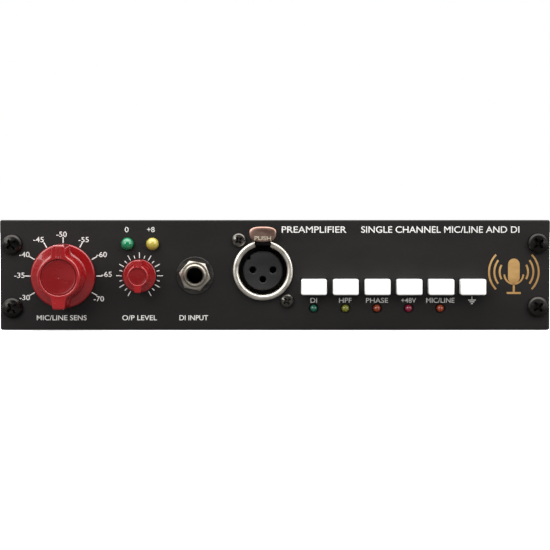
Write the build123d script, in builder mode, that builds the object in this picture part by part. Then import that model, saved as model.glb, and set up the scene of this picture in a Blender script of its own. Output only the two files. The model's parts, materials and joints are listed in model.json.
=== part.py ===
"""A half-rack, one-unit microphone preamp as an assembly of separate pieces.

Frame: millimetres, +Z up, the front panel faces -Y and +X is to the right as the front is read.
The origin is under the middle of the object's box, on the surface that the feet stand on.

Each piece is drawn on a seat: a plane on the front or rear panel whose Z points out at the user,
whose X points to the user's right and whose Y points up. A height of w is then w in front of
the panel's face, and a negative height is inside the case.
"""

import math
import os

from build123d import *

os.makedirs("parts", exist_ok=True)

# Front panel: half of a 19 inch rack, one unit high
PANEL_WIDTH = 217.0
PANEL_HEIGHT = 43.4
PANEL_THICK = 3.0
PANEL_LIFT = 0.2

# Sheet metal case behind it
CASE_WIDTH = 215.0
CASE_BOTTOM = 2.0
CASE_TOP = 41.8
CASE_DEPTH = 190.0
SHEET = 1.2
REAR_THICK = 1.5
FIT_GAP = 0.1
SLIDE_GAP = 0.3

# How far the pieces stand out of each panel
GAIN_KNOB_TOP = 16.2
REAR_PROUD = 9.0

CENTRE_Z = PANEL_LIFT + PANEL_HEIGHT / 2
FRONT_Y = GAIN_KNOB_TOP - (GAIN_KNOB_TOP + CASE_DEPTH + REAR_PROUD) / 2
REAR_Y = FRONT_Y + CASE_DEPTH
INSIDE_FRONT_Y = FRONT_Y + PANEL_THICK
INSIDE_REAR_Y = REAR_Y - REAR_THICK
INSIDE_X = CASE_WIDTH / 2 - SHEET - FIT_GAP
FLOOR_TOP = CASE_BOTTOM + SHEET
BOARD_TOP = 11.0
BOARD_THICK = 1.6

# Places on the front panel, from its middle: across, then up
PANEL_SCREW_X = 103.7
PANEL_SCREW_Z = 12.5
LEFT_SCREW_DROP = 0.5
GAIN_AT = (-83.6, -0.4)
LEVEL_AT = (-53.5, -0.3)
GREEN_LED_AT = (-58.2, 12.3)
YELLOW_LED_AT = (-48.3, 12.3)
JACK_AT = (-31.6, -0.2)
MIC_AT = (-4.8, 1.75)
BUTTON_NAMES = ["di", "filter", "phase", "phantom", "line", "ground"]
BUTTON_FIRST_X = 15.3
BUTTON_PITCH = 12.5
BUTTON_Z = -4.6
STATUS_Z = -13.2

# Places on the rear panel, from the front panel's middle: across as the front is read, then up
OUTPUT_AT = (-82.0, -0.4)
LINE_AT = (-46.0, -0.4)
MAINS_AT = (68.0, -0.4)

M3_SHANK = 1.45
M3_HOLE = 1.55
M4_SHANK = 1.9
M4_HOLE = 2.1


def front_seat(at):
    """The plane on the front panel's face at a place across and up from its middle."""
    return Plane(origin=(at[0], FRONT_Y, CENTRE_Z + at[1]), x_dir=(1, 0, 0), z_dir=(0, -1, 0))


def rear_seat(at):
    """The plane on the rear panel's face, looking out of the back."""
    return Plane(origin=(at[0], REAR_Y, CENTRE_Z + at[1]), x_dir=(-1, 0, 0), z_dir=(0, 1, 0))


def button_at(index):
    """The middle of one push button on the front panel."""
    return (BUTTON_FIRST_X + index * BUTTON_PITCH, BUTTON_Z)


def shifted(seat, across, up):
    """The same seat moved in its own plane."""
    return Plane(
        origin=seat.origin + seat.x_dir * across + seat.y_dir * up,
        x_dir=seat.x_dir,
        z_dir=seat.z_dir,
    )


def disc(seat, radius, low, high, mode=Mode.ADD, hole=0.0):
    """A round bar or ring on the seat's axis, from height low to height high."""
    with BuildSketch(seat.offset(low)) as round_face:
        Circle(radius)
        if hole > 0:
            Circle(hole, mode=Mode.SUBTRACT)
    extrude(round_face.sketch, amount=high - low, mode=mode)


def block(seat, width, height, low, high, mode=Mode.ADD, corner=0.0):
    """A rectangular bar centred on the seat's axis, from height low to height high."""
    with BuildSketch(seat.offset(low)) as face:
        if corner > 0:
            RectangleRounded(width, height, corner)
        else:
            Rectangle(width, height)
    extrude(face.sketch, amount=high - low, mode=mode)


def turned(seat, outline, mode=Mode.ADD):
    """Turns a half outline, given as (radius, height) points, about the seat's own axis."""
    with BuildSketch(Plane(origin=seat.origin, x_dir=seat.x_dir, z_dir=seat.y_dir * -1)) as half:
        with BuildLine():
            Polyline(*outline, close=True)
        make_face()
    revolve(half.sketch, axis=Axis(seat.origin, seat.z_dir), mode=mode)


def slab(low, high, mode=Mode.ADD):
    """A block between two corners given in the object's own frame."""
    size = [high[i] - low[i] for i in range(3)]
    middle = [(high[i] + low[i]) / 2 for i in range(3)]
    box = Pos(*middle) * Box(*size, mode=Mode.PRIVATE)
    add(box, mode=mode)


def cross_recess(seat, top, arm, depth):
    """Cuts a tapered cross for a cross-head driver into a screw whose head ends at height top."""
    with BuildSketch(seat.offset(top)) as cross:
        Rectangle(arm, arm * 0.24, rotation=38)
        Rectangle(arm * 0.24, arm, rotation=38)
        Circle(arm * 0.2)
    extrude(cross.sketch, amount=-depth, taper=14, mode=Mode.SUBTRACT)


def pan_screw(seat, head, rise, shank, length, under=0.0):
    """A cross-head pan screw whose head rests at height under; the shank runs length mm below it."""
    outline = [
        (0, under + rise),
        (head * 0.45, under + rise),
        (head * 0.78, under + rise * 0.86),
        (head * 0.95, under + rise * 0.58),
        (head, under + rise * 0.25),
        (head, under),
        (shank, under),
        (shank, under - length + 0.4),
        (shank - 0.4, under - length),
        (0, under - length),
    ]
    turned(seat, outline)
    cross_recess(seat, under + rise, head * 1.15, rise * 0.75)


def sunk_screw(seat):
    """An M3 countersunk cross-head screw, flush with the sheet at height 0."""
    turned(seat, [(0, 0), (2.7, 0), (2.7, -0.12), (M3_SHANK, -1.2), (M3_SHANK, -5.8), (0, -5.8)])
    cross_recess(seat, 0, 3.2, 1.0)


def sunk_hole(seat, thick):
    """Cuts the dimple and hole that a countersunk M3 screw sits in."""
    turned(
        seat,
        [
            (0, 0.01),
            (2.7, 0.01),
            (2.7, -0.12),
            (M3_SHANK + 0.02, -1.2),
            (M3_SHANK + 0.02, -thick - 1),
            (0, -thick - 1),
        ],
        mode=Mode.SUBTRACT,
    )


def hexagon(seat, across_flats, low, high, bore, turn=0.0):
    """A nut on the seat's axis, with the corners of its outer face turned away."""
    with BuildSketch(seat.offset(low)) as face:
        RegularPolygon(across_flats / math.sqrt(3), 6, rotation=turn)
        Circle(bore, mode=Mode.SUBTRACT)
    extrude(face.sketch, amount=high - low)
    corner = across_flats / math.sqrt(3)
    flat = across_flats / 2
    turned(
        seat,
        [(flat - 0.1, high), (corner + 1, high), (corner + 1, high - (corner + 1 - flat) * 0.6)],
        mode=Mode.SUBTRACT,
    )


def save(piece, name):
    """Labels a finished piece and writes it to its own file."""
    piece.part.label = name
    export_step(piece.part, f"parts/{name}.step")


# ---------------------------------------------------------------- front panel

middle = front_seat((0, 0))
button_seats = [front_seat(button_at(i)) for i in range(len(BUTTON_NAMES))]
status_seats = [front_seat((button_at(i)[0], STATUS_Z)) for i in range(5)]
panel_screw_seats = [
    front_seat((side * PANEL_SCREW_X, z - drop))
    for side, drop in ((-1, LEFT_SCREW_DROP), (1, 0))
    for z in (-PANEL_SCREW_Z, PANEL_SCREW_Z)
]

SOCKET_SCREW_X = 9.5
SOCKET_SCREW_Z = 12.0
BUTTON_WIDTH = 10.0
BUTTON_HEIGHT = 6.2
BIG_LED = 2.5
SMALL_LED = 1.5

with BuildPart() as front_panel:
    block(middle, PANEL_WIDTH, PANEL_HEIGHT, -PANEL_THICK, 0, corner=0.8)
    face_edges = front_panel.faces().sort_by(Axis.Y)[0].edges()
    chamfer(face_edges, 0.35)
    for seat in panel_screw_seats:
        disc(seat, M4_HOLE, -PANEL_THICK, 0, Mode.SUBTRACT)
    disc(front_seat(GAIN_AT), 4.85, -PANEL_THICK, 0, Mode.SUBTRACT)
    disc(front_seat(LEVEL_AT), 3.6, -PANEL_THICK, 0, Mode.SUBTRACT)
    disc(front_seat(JACK_AT), 4.6, -PANEL_THICK, 0, Mode.SUBTRACT)
    disc(front_seat(MIC_AT), 12.0, -PANEL_THICK, 0, Mode.SUBTRACT)
    for side in (-1, 1):
        seat = shifted(front_seat(MIC_AT), side * SOCKET_SCREW_X, -side * SOCKET_SCREW_Z)
        disc(seat, M3_HOLE, -PANEL_THICK, 0, Mode.SUBTRACT)
    for at in (GREEN_LED_AT, YELLOW_LED_AT):
        disc(front_seat(at), BIG_LED + 0.1, -PANEL_THICK, 0, Mode.SUBTRACT)
    for seat in status_seats:
        disc(seat, SMALL_LED + 0.1, -PANEL_THICK, 0, Mode.SUBTRACT)
        turned(seat, [(0, 0.01), (2.15, 0.01), (1.6, -0.5), (0, -0.5)], Mode.SUBTRACT)
    for seat in button_seats:
        block(
            seat,
            BUTTON_WIDTH + 2 * SLIDE_GAP,
            BUTTON_HEIGHT + 2 * SLIDE_GAP,
            -PANEL_THICK,
            0,
            Mode.SUBTRACT,
            corner=0.6,
        )
save(front_panel, "front_panel")

with BuildPart() as front_panel_screws:
    for seat in panel_screw_seats:
        pan_screw(seat, 4.1, 2.3, M4_SHANK, 8.0)
save(front_panel_screws, "front_panel_screws")

# ---------------------------------------------------------------- case

TAB_WIDTH = 9.5
TAB_TOP = CASE_TOP - SHEET - 0.4
SIDE_START = 12.0
SIDE_HEIGHT = 18.0
EAR_DEPTH = 24.0
EAR_HOLE_Y = FRONT_Y + PANEL_THICK + SIDE_START + EAR_DEPTH / 2
EAR_HOLE_SPACING = 25.0
COVER_SCREW_Z = 14.5
COVER_SCREW_YS = [FRONT_Y + 62, FRONT_Y + 112, FRONT_Y + 168]
cover_screw_seats = [
    Plane(origin=(side * CASE_WIDTH / 2, y, COVER_SCREW_Z), x_dir=(0, side, 0), z_dir=(side, 0, 0))
    for side in (-1, 1)
    for y in COVER_SCREW_YS
]
rear_screw_seats = [rear_seat((x, z)) for x in (-100.5, 100.5) for z in (-14.5, 13.5)]
ear_hole_seats = [
    Plane(
        origin=(side * CASE_WIDTH / 2, EAR_HOLE_Y, CENTRE_Z + up * EAR_HOLE_SPACING / 2),
        x_dir=(0, side, 0),
        z_dir=(side, 0, 0),
    )
    for side in (-1, 1)
    for up in (-1, 1)
]
TOROID_AT = (66.0, REAR_Y - 67.0)
TOROID_RADIUS = 31.0
TOROID_HOLE = 10.0
PILLAR_PLACES = [
    (-98.0, FRONT_Y + 48.0),
    (98.0, FRONT_Y + 20.0),
    (-98.0, REAR_Y - 36.0),
    (22.0, REAR_Y - 36.0),
    (98.0, FRONT_Y + 74.0),
    (6.0, FRONT_Y + 60.0),
]
PILLAR_HOLE = 1.6

with BuildPart() as base_tray:
    slab((-INSIDE_X, INSIDE_FRONT_Y, CASE_BOTTOM), (INSIDE_X, INSIDE_REAR_Y, FLOOR_TOP))
    for side in (-1, 1):
        outer = side * INSIDE_X
        inner = side * (INSIDE_X - SHEET)
        tab_end = side * (INSIDE_X - TAB_WIDTH)
        side_x = sorted((outer, inner))
        tab_x = sorted((outer, tab_end))
        slab(
            (side_x[0], INSIDE_FRONT_Y + SIDE_START, FLOOR_TOP),
            (side_x[1], INSIDE_REAR_Y - SIDE_START, SIDE_HEIGHT),
        )
        slab(
            (side_x[0], INSIDE_FRONT_Y + SIDE_START, SIDE_HEIGHT),
            (side_x[1], INSIDE_FRONT_Y + SIDE_START + EAR_DEPTH, TAB_TOP),
        )
        slab((tab_x[0], INSIDE_FRONT_Y, FLOOR_TOP), (tab_x[1], INSIDE_FRONT_Y + SHEET, TAB_TOP))
        slab((tab_x[0], INSIDE_REAR_Y - SHEET, FLOOR_TOP), (tab_x[1], INSIDE_REAR_Y, TAB_TOP))
    for seat in panel_screw_seats:
        disc(seat, M4_HOLE, -PANEL_THICK - SHEET, -PANEL_THICK, Mode.SUBTRACT)
    for seat in cover_screw_seats + rear_screw_seats:
        disc(seat, M3_HOLE, -6, 0, Mode.SUBTRACT)
    for seat in ear_hole_seats:
        disc(seat, M4_HOLE, -4, 0, Mode.SUBTRACT)
    with BuildSketch(Plane.XY.offset(CASE_BOTTOM)) as vents:
        with Locations((-55, REAR_Y - 62)):
            with GridLocations(7, 0, 9, 1):
                SlotOverall(30, 3, rotation=90)
    extrude(vents.sketch, amount=SHEET, mode=Mode.SUBTRACT)
save(base_tray, "base_tray")

with BuildPart() as top_cover:
    slab((-CASE_WIDTH / 2, INSIDE_FRONT_Y, CASE_BOTTOM), (CASE_WIDTH / 2, REAR_Y, CASE_TOP))
    long_edges = top_cover.edges().filter_by(Axis.Y).group_by(Axis.Z)[-1]
    fillet(long_edges, 1.6)
    slab(
        (-CASE_WIDTH / 2 + SHEET, INSIDE_FRONT_Y - 1, CASE_BOTTOM - 1),
        (CASE_WIDTH / 2 - SHEET, REAR_Y + 1, CASE_TOP - SHEET),
        Mode.SUBTRACT,
    )
    for seat in cover_screw_seats:
        sunk_hole(seat, SHEET)
    for seat in ear_hole_seats:
        disc(seat, M4_HOLE, -SHEET, 0, Mode.SUBTRACT)
    with BuildSketch(Plane.XY.offset(CASE_TOP - SHEET)) as vents:
        with Locations((-40, REAR_Y - 48), (-40, REAR_Y - 86), (62, REAR_Y - 48), (62, REAR_Y - 86)):
            with GridLocations(7, 0, 10, 1):
                SlotOverall(30, 3, rotation=90)
    extrude(vents.sketch, amount=SHEET, mode=Mode.SUBTRACT)
save(top_cover, "top_cover")

SOCKET_FRONT_HOLE = 12.0
INLET_WIDTH = 58.0
INLET_HEIGHT = 30.0
INLET_BODY_WIDTH = 51.0
INLET_BODY_HEIGHT = 26.0
rear_sockets = [rear_seat(OUTPUT_AT), rear_seat(LINE_AT)]
mains_seat = rear_seat(MAINS_AT)

with BuildPart() as rear_panel:
    slab((-INSIDE_X, INSIDE_REAR_Y, CASE_BOTTOM), (INSIDE_X, REAR_Y, TAB_TOP))
    for seat in rear_sockets:
        disc(seat, SOCKET_FRONT_HOLE, -REAR_THICK, 0, Mode.SUBTRACT)
        for side in (-1, 1):
            screw_seat = shifted(seat, side * SOCKET_SCREW_X, -side * SOCKET_SCREW_Z)
            disc(screw_seat, M3_HOLE, -REAR_THICK, 0, Mode.SUBTRACT)
    block(
        mains_seat,
        INLET_BODY_WIDTH + 2 * FIT_GAP,
        INLET_BODY_HEIGHT + 2 * FIT_GAP,
        -REAR_THICK,
        0,
        Mode.SUBTRACT,
    )
    for seat in rear_screw_seats:
        sunk_hole(seat, REAR_THICK)
save(rear_panel, "rear_panel")

with BuildPart() as case_screws:
    for seat in cover_screw_seats + rear_screw_seats:
        sunk_screw(seat)
save(case_screws, "case_screws")

FOOT_PLACES = [(x, y) for x in (-90.0, 90.0) for y in (FRONT_Y + 20.0, REAR_Y - 16.0)]

with BuildPart() as rubber_feet:
    with BuildSketch():
        with Locations(*FOOT_PLACES):
            Circle(6.5)
    extrude(amount=CASE_BOTTOM)
    chamfer(rubber_feet.edges().group_by(Axis.Z)[0], 0.4)
save(rubber_feet, "rubber_feet")

# ---------------------------------------------------------------- three-pin audio sockets
# Heights here are from the flange's outer face. The microphone socket is screwed on from behind
# the front panel, and the rear ones from outside, so their flanges show.

FLANGE_THICK = 2.0
BARREL_OUT = 11.8
BARREL_IN = 9.65
RING_TOP = 4.2
BARREL_DEPTH = 15.0
INSERT_TOP = 3.0
INSERT_RADIUS = 7.75
INSERT_BASE = -12.0
CONTACT_PLACES = [(-4.0, 0.2), (4.0, 0.2), (0.0, -3.5)]
SLEEVE_OUT = 1.6
SLEEVE_BORE = 1.2
PIN_RADIUS = 1.19
TAIL_RADIUS = 0.6
SLOT_WIDTH = 6.4
LATCH_WIDTH = 5.8
LATCH_STROKE = 1.5

mic_seat = front_seat(MIC_AT).offset(-PANEL_THICK)
line_seat = rear_seat(LINE_AT).offset(FLANGE_THICK)
output_seat = rear_seat(OUTPUT_AT).offset(FLANGE_THICK)


def socket_shell(seat, latch_slot):
    """The die-cast flange and barrel of a three-pin socket, with a slot for a latch if it has one."""
    block(seat, 26, 31, -FLANGE_THICK, 0, corner=2.0)
    for side in (-1, 1):
        screw_seat = shifted(seat, side * SOCKET_SCREW_X, -side * SOCKET_SCREW_Z)
        disc(screw_seat, M3_HOLE, -FLANGE_THICK, 0, Mode.SUBTRACT)
    turned(
        seat,
        [
            (0, -BARREL_DEPTH),
            (11.0, -BARREL_DEPTH),
            (11.0, -FLANGE_THICK),
            (BARREL_OUT, -FLANGE_THICK),
            (BARREL_OUT, RING_TOP - 0.35),
            (BARREL_OUT - 0.35, RING_TOP),
            (0, RING_TOP),
        ],
    )
    turned(
        seat,
        [
            (0, -BARREL_DEPTH - 1),
            (BARREL_IN, -BARREL_DEPTH - 1),
            (BARREL_IN, RING_TOP - 0.25),
            (BARREL_IN + 0.25, RING_TOP),
            (BARREL_IN + 0.25, RING_TOP + 1),
            (0, RING_TOP + 1),
        ],
        Mode.SUBTRACT,
    )
    if latch_slot:
        block(shifted(seat, 0, 10.3), SLOT_WIDTH, 3.4, -10, RING_TOP + 1, Mode.SUBTRACT)
    else:
        block(shifted(seat, 0, 9.9), 4.0, 2.0, -6, RING_TOP + 1, Mode.SUBTRACT)


def female_insert(seat):
    """The moulded core of a female socket: a round nose with three contact holes and a keyway."""
    turned(
        seat,
        [
            (0, -BARREL_DEPTH),
            (BARREL_IN, -BARREL_DEPTH),
            (BARREL_IN, INSERT_BASE),
            (INSERT_RADIUS, INSERT_BASE),
            (INSERT_RADIUS, INSERT_TOP - 0.5),
            (INSERT_RADIUS - 0.5, INSERT_TOP),
            (0, INSERT_TOP),
        ],
    )
    for across, up in CONTACT_PLACES:
        hole = shifted(seat, across, up)
        disc(hole, SLEEVE_OUT, -BARREL_DEPTH, INSERT_TOP - 1.6, Mode.SUBTRACT)
        turned(
            hole,
            [
                (0, INSERT_TOP + 0.01),
                (1.7, INSERT_TOP + 0.01),
                (1.3, INSERT_TOP - 0.4),
                (1.3, -1),
                (0, -1),
            ],
            Mode.SUBTRACT,
        )
    key = math.radians(138)
    keyway = shifted(seat, INSERT_RADIUS * math.cos(key), INSERT_RADIUS * math.sin(key))
    block(keyway, 1.8, 1.8, INSERT_BASE, INSERT_TOP + 1, Mode.SUBTRACT)


def contact_sleeves(seat):
    """Three turned sleeves with solder tails, pressed into a female core."""
    for across, up in CONTACT_PLACES:
        hole = shifted(seat, across, up)
        turned(
            hole,
            [
                (SLEEVE_BORE, INSERT_TOP - 1.6),
                (SLEEVE_OUT, INSERT_TOP - 1.6),
                (SLEEVE_OUT, -BARREL_DEPTH),
                (TAIL_RADIUS, -BARREL_DEPTH - 0.5),
                (TAIL_RADIUS, -BARREL_DEPTH - 4),
                (0, -BARREL_DEPTH - 4),
                (0, INSERT_BASE),
                (SLEEVE_BORE, INSERT_BASE),
            ],
        )


def push_latch(seat):
    """The release latch: a thumb plate in front, an arm through the ring's slot and a hook behind."""
    arm = shifted(seat, 0, 10.6)
    block(arm, LATCH_WIDTH, 1.2, -7.0, 7.0)
    block(shifted(seat, 0, 11.5), LATCH_WIDTH, 1.0, 5.8, 7.0)
    block(shifted(seat, 0, 9.4), LATCH_WIDTH - 1, 1.2, -7.0, -5.6)
    with BuildSketch(seat.offset(5.8)) as plate:
        with BuildLine():
            start = Line((-4.3, 11.7), (4.3, 11.7))
            right = ThreePointArc((4.3, 11.7), (5.25, 13.6), (4.7, 15.9))
            top = ThreePointArc((4.7, 15.9), (0, 17.2), (-4.7, 15.9))
            left = ThreePointArc((-4.7, 15.9), (-5.25, 13.6), (-4.3, 11.7))
        make_face()
    extrude(plate.sketch, amount=1.2)


with BuildPart() as mic_socket_shell:
    socket_shell(mic_seat, latch_slot=True)
save(mic_socket_shell, "mic_socket_shell")

with BuildPart() as mic_socket_insert:
    female_insert(mic_seat)
save(mic_socket_insert, "mic_socket_insert")

with BuildPart() as mic_latch:
    push_latch(mic_seat)
save(mic_latch, "mic_latch")

with BuildPart() as line_socket_shell:
    socket_shell(line_seat, latch_slot=True)
save(line_socket_shell, "line_socket_shell")

with BuildPart() as line_socket_insert:
    female_insert(line_seat)
save(line_socket_insert, "line_socket_insert")

with BuildPart() as line_latch:
    push_latch(line_seat)
save(line_latch, "line_latch")

with BuildPart() as socket_contacts:
    contact_sleeves(mic_seat)
    contact_sleeves(line_seat)
save(socket_contacts, "socket_contacts")

with BuildPart() as output_socket_shell:
    socket_shell(output_seat, latch_slot=False)
save(output_socket_shell, "output_socket_shell")

MALE_FLOOR = -11.0

with BuildPart() as output_socket_insert:
    disc(output_seat, BARREL_IN, -BARREL_DEPTH, MALE_FLOOR)
    for across, up in CONTACT_PLACES:
        disc(shifted(output_seat, across, up), PIN_RADIUS, -BARREL_DEPTH, MALE_FLOOR, Mode.SUBTRACT)
save(output_socket_insert, "output_socket_insert")

with BuildPart() as output_socket_pins:
    for across, up in CONTACT_PLACES:
        turned(
            shifted(output_seat, across, up),
            [
                (0, 1.5),
                (0.6, 1.3),
                (PIN_RADIUS, 0.4),
                (PIN_RADIUS, -BARREL_DEPTH),
                (TAIL_RADIUS, -BARREL_DEPTH - 0.5),
                (TAIL_RADIUS, -BARREL_DEPTH - 4),
                (0, -BARREL_DEPTH - 4),
            ],
        )
save(output_socket_pins, "output_socket_pins")

with BuildPart() as socket_screws:
    for seat, under in ((mic_seat, PANEL_THICK), (line_seat, 0), (output_seat, 0)):
        for side in (-1, 1):
            screw_seat = shifted(seat, side * SOCKET_SCREW_X, -side * SOCKET_SCREW_Z)
            pan_screw(screw_seat, 2.8, 1.8, M3_SHANK, 7.5, under)
save(socket_screws, "socket_screws")

# ---------------------------------------------------------------- instrument jack

JACK_BORE = 3.25
JACK_THREAD = 4.5
jack_seat = front_seat(JACK_AT)
JACK_FOOT = CENTRE_Z + JACK_AT[1] - BOARD_TOP

with BuildPart() as di_jack_washer:
    disc(jack_seat, 7.4, 0, 0.5, hole=JACK_THREAD + 0.05)
    chamfer(di_jack_washer.faces().sort_by(Axis.Y)[0].outer_wire().edges(), 0.15)
save(di_jack_washer, "di_jack_washer")

with BuildPart() as di_jack_nut:
    hexagon(jack_seat, 10.8, 0.5, 2.5, JACK_THREAD, turn=49.6)
save(di_jack_nut, "di_jack_nut")

with BuildPart() as di_jack_bush:
    turned(
        jack_seat,
        [
            (JACK_BORE, -8.0),
            (JACK_THREAD, -8.0),
            (JACK_THREAD, 2.9),
            (JACK_THREAD - 0.5, 3.4),
            (JACK_BORE + 0.45, 3.4),
            (JACK_BORE, 2.8),
        ],
    )
save(di_jack_bush, "di_jack_bush")

with BuildPart() as di_jack_housing:
    block(shifted(jack_seat, 0, (9.0 - JACK_FOOT) / 2), 16, JACK_FOOT + 9.0, -27, -PANEL_THICK)
    disc(jack_seat, JACK_THREAD, -8.0, -PANEL_THICK, Mode.SUBTRACT)
    disc(jack_seat, JACK_BORE + 0.35, -26, -8.0, Mode.SUBTRACT)
    block(shifted(jack_seat, 0, 6.5), 4.0, 8.0, -24, -11, Mode.SUBTRACT)
save(di_jack_housing, "di_jack_housing")

with BuildPart() as di_jack_springs:
    block(shifted(jack_seat, 0, 7.2), 3.0, 0.4, -23.5, -11.5)
    block(shifted(jack_seat, 0, 5.2), 3.0, 4.0, -23.5, -23.1)
    block(shifted(jack_seat, 0, 3.5), 3.0, 0.4, -23.1, -17.5)
save(di_jack_springs, "di_jack_springs")

# ---------------------------------------------------------------- indicator lamps


def lamp(at, radius, body_top):
    """A moulded lamp: a rim behind the panel, a round body through it and a domed nose."""
    seat = front_seat(at)
    disc(seat, radius + 0.4, -PANEL_THICK - 2.0, -PANEL_THICK)
    disc(seat, radius, -PANEL_THICK, body_top)
    with BuildSketch(Plane(origin=seat.origin, x_dir=seat.x_dir, z_dir=seat.y_dir * -1)) as half:
        with BuildLine():
            Line((0, body_top), (radius, body_top))
            arc = math.sqrt(0.5) * radius
            ThreePointArc((radius, body_top), (arc, body_top + arc), (0, body_top + radius))
            Line((0, body_top + radius), (0, body_top))
        make_face()
    revolve(half.sketch, axis=Axis(seat.origin, seat.z_dir))


with BuildPart() as level_led_green:
    lamp(GREEN_LED_AT, BIG_LED, 0.9)
save(level_led_green, "level_led_green")

with BuildPart() as level_led_yellow:
    lamp(YELLOW_LED_AT, BIG_LED, 0.9)
save(level_led_yellow, "level_led_yellow")

for index, name in enumerate(BUTTON_NAMES[:5]):
    with BuildPart() as status_led:
        lamp((button_at(index)[0], STATUS_Z), SMALL_LED, -0.5)
    save(status_led, f"status_led_{name}")

# ---------------------------------------------------------------- push buttons

BUTTON_TOP = 5.8
BUTTON_BACK = -1.4
BUTTON_STROKE = 3.0
PLUNGER = 4.0
SWITCH_FRONT = -6.0
SWITCH_BACK = -24.0
SWITCH_TOP = 4.2
SWITCH_FOOT = CENTRE_Z + BUTTON_Z - BOARD_TOP

for index, name in enumerate(BUTTON_NAMES):
    seat = button_seats[index]
    with BuildPart() as button:
        block(seat, BUTTON_WIDTH, BUTTON_HEIGHT, BUTTON_BACK, BUTTON_TOP, corner=0.7)
        fillet(button.faces().sort_by(Axis.Y)[0].edges(), 0.45)
        block(seat, PLUNGER, PLUNGER, BUTTON_BACK, 1.6, Mode.SUBTRACT)
    with BuildPart() as plunger:
        block(seat, PLUNGER, PLUNGER, -25.0, 1.6)
    pair = Compound(children=[button.part.solid(), plunger.part.solid()])
    pair.label = f"{name}_button"
    export_step(pair, f"parts/{name}_button.step")

with BuildPart() as push_switch_bodies:
    for seat in button_seats:
        body_seat = shifted(seat, 0, (SWITCH_TOP - SWITCH_FOOT) / 2)
        block(body_seat, 10.0, SWITCH_TOP + SWITCH_FOOT, SWITCH_BACK, SWITCH_FRONT)
        block(seat, PLUNGER + 0.2, PLUNGER + 0.2, SWITCH_BACK, SWITCH_FRONT, Mode.SUBTRACT)
save(push_switch_bodies, "push_switch_bodies")

# ---------------------------------------------------------------- rotary controls


def knob_body(seat, size, skirt_low, hub_low, top, bore, nut_room, nut_depth):
    """A pointer knob. size is its skirt's radius; the grip is a round hub with two opposed wings."""
    grip_low = hub_low - 0.06 * size
    with BuildSketch(seat.offset(grip_low)) as plan:
        Rectangle(size * 0.44, size * 1.98)
        Circle(size * 0.665)
        waists = plan.vertices().filter_by(lambda v: abs(v.Y) < size * 0.9)
        fillet(waists, size * 0.34)
    extrude(plan.sketch, amount=top - grip_low, taper=3)
    fillet(faces().sort_by(Axis.Y)[0].edges(), size * 0.045)
    turned(
        seat,
        [
            (0, skirt_low),
            (size - 0.15, skirt_low),
            (size, skirt_low + 0.15),
            (size, skirt_low + 0.07 * size),
            (size - 0.02 * size, skirt_low + 0.09 * size),
            (size * 0.72, hub_low),
            (0, hub_low),
        ],
    )
    disc(seat, size * 0.545, top - size * 0.06, top + 1, Mode.SUBTRACT)
    disc(seat, bore, skirt_low - 1, top - size * 0.16, Mode.SUBTRACT)
    disc(seat, nut_room, skirt_low - 1, nut_depth, Mode.SUBTRACT)
    for groove in (-1, 0, 1):
        mark = shifted(seat, groove * size * 0.062, size * 0.77)
        block(mark, size * 0.022, size * 0.42, top - size * 0.02, top + 1, Mode.SUBTRACT)


def knob_cap(seat, size, top):
    """The disc that closes the knob's hub, a little below its rim."""
    radius = size * 0.545 - 0.03
    low = top - size * 0.06
    turned(
        seat,
        [
            (0, low),
            (radius, low),
            (radius, low + size * 0.012),
            (radius - 0.1, low + size * 0.02),
            (0, low + size * 0.02),
        ],
    )


GAIN_SIZE = 12.7
GAIN_SHAFT = 3.0
gain_seat = front_seat(GAIN_AT)
LEVEL_SIZE = 6.55
LEVEL_KNOB_TOP = 10.2
LEVEL_SHAFT = 2.4
level_seat = front_seat(LEVEL_AT)

with BuildPart() as gain_knob:
    knob_body(gain_seat, GAIN_SIZE, 0.6, 3.4, GAIN_KNOB_TOP, GAIN_SHAFT, 9.0, 2.9)
save(gain_knob, "gain_knob")

with BuildPart() as gain_knob_cap:
    knob_cap(gain_seat, GAIN_SIZE, GAIN_KNOB_TOP)
save(gain_knob_cap, "gain_knob_cap")

with BuildPart() as level_knob:
    knob_body(level_seat, LEVEL_SIZE, 0.6, 2.0, LEVEL_KNOB_TOP, LEVEL_SHAFT, 5.5, 1.5)
save(level_knob, "level_knob")

with BuildPart() as level_knob_cap:
    knob_cap(level_seat, LEVEL_SIZE, LEVEL_KNOB_TOP)
save(level_knob_cap, "level_knob_cap")

with BuildPart() as gain_shaft:
    disc(gain_seat, GAIN_SHAFT, -27.5, 13.0)
    chamfer(gain_shaft.edges().sort_by(Axis.Y)[-1], 0.4)
save(gain_shaft, "gain_shaft")

with BuildPart() as level_shaft:
    disc(level_seat, LEVEL_SHAFT, -14.0, 8.0)
    chamfer(level_shaft.edges().sort_by(Axis.Y)[-1], 0.3)
save(level_shaft, "level_shaft")

with BuildPart() as gain_switch:
    for low, high, radius in ((-4.5, -3.0, 12.5), (-12.0, -4.5, 11.0), (-13.5, -12.0, 12.5)):
        disc(gain_seat, radius, low, high)
    disc(gain_seat, 11.0, -22.0, -13.5)
    disc(gain_seat, 12.5, -23.5, -22.0)
    disc(gain_seat, 4.75, -3.0, 2.5)
    disc(gain_seat, GAIN_SHAFT + 0.05, -24, 3, Mode.SUBTRACT)
save(gain_switch, "gain_switch")

with BuildPart() as level_pot:
    disc(level_seat, 8.5, -12.5, -3.0)
    disc(level_seat, 3.5, -3.0, 1.3)
    block(shifted(level_seat, 0, -6.8), 15, 7.6, -12.5, -9.0)
    disc(level_seat, LEVEL_SHAFT + 0.05, -13, 2, Mode.SUBTRACT)
save(level_pot, "level_pot")

with BuildPart() as control_nuts:
    hexagon(gain_seat, 14.0, 0, 2.2, 4.75, turn=12)
    hexagon(level_seat, 9.0, 0, 1.2, 3.5, turn=20)
save(control_nuts, "control_nuts")

# ---------------------------------------------------------------- circuit board and what stands on it

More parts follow.
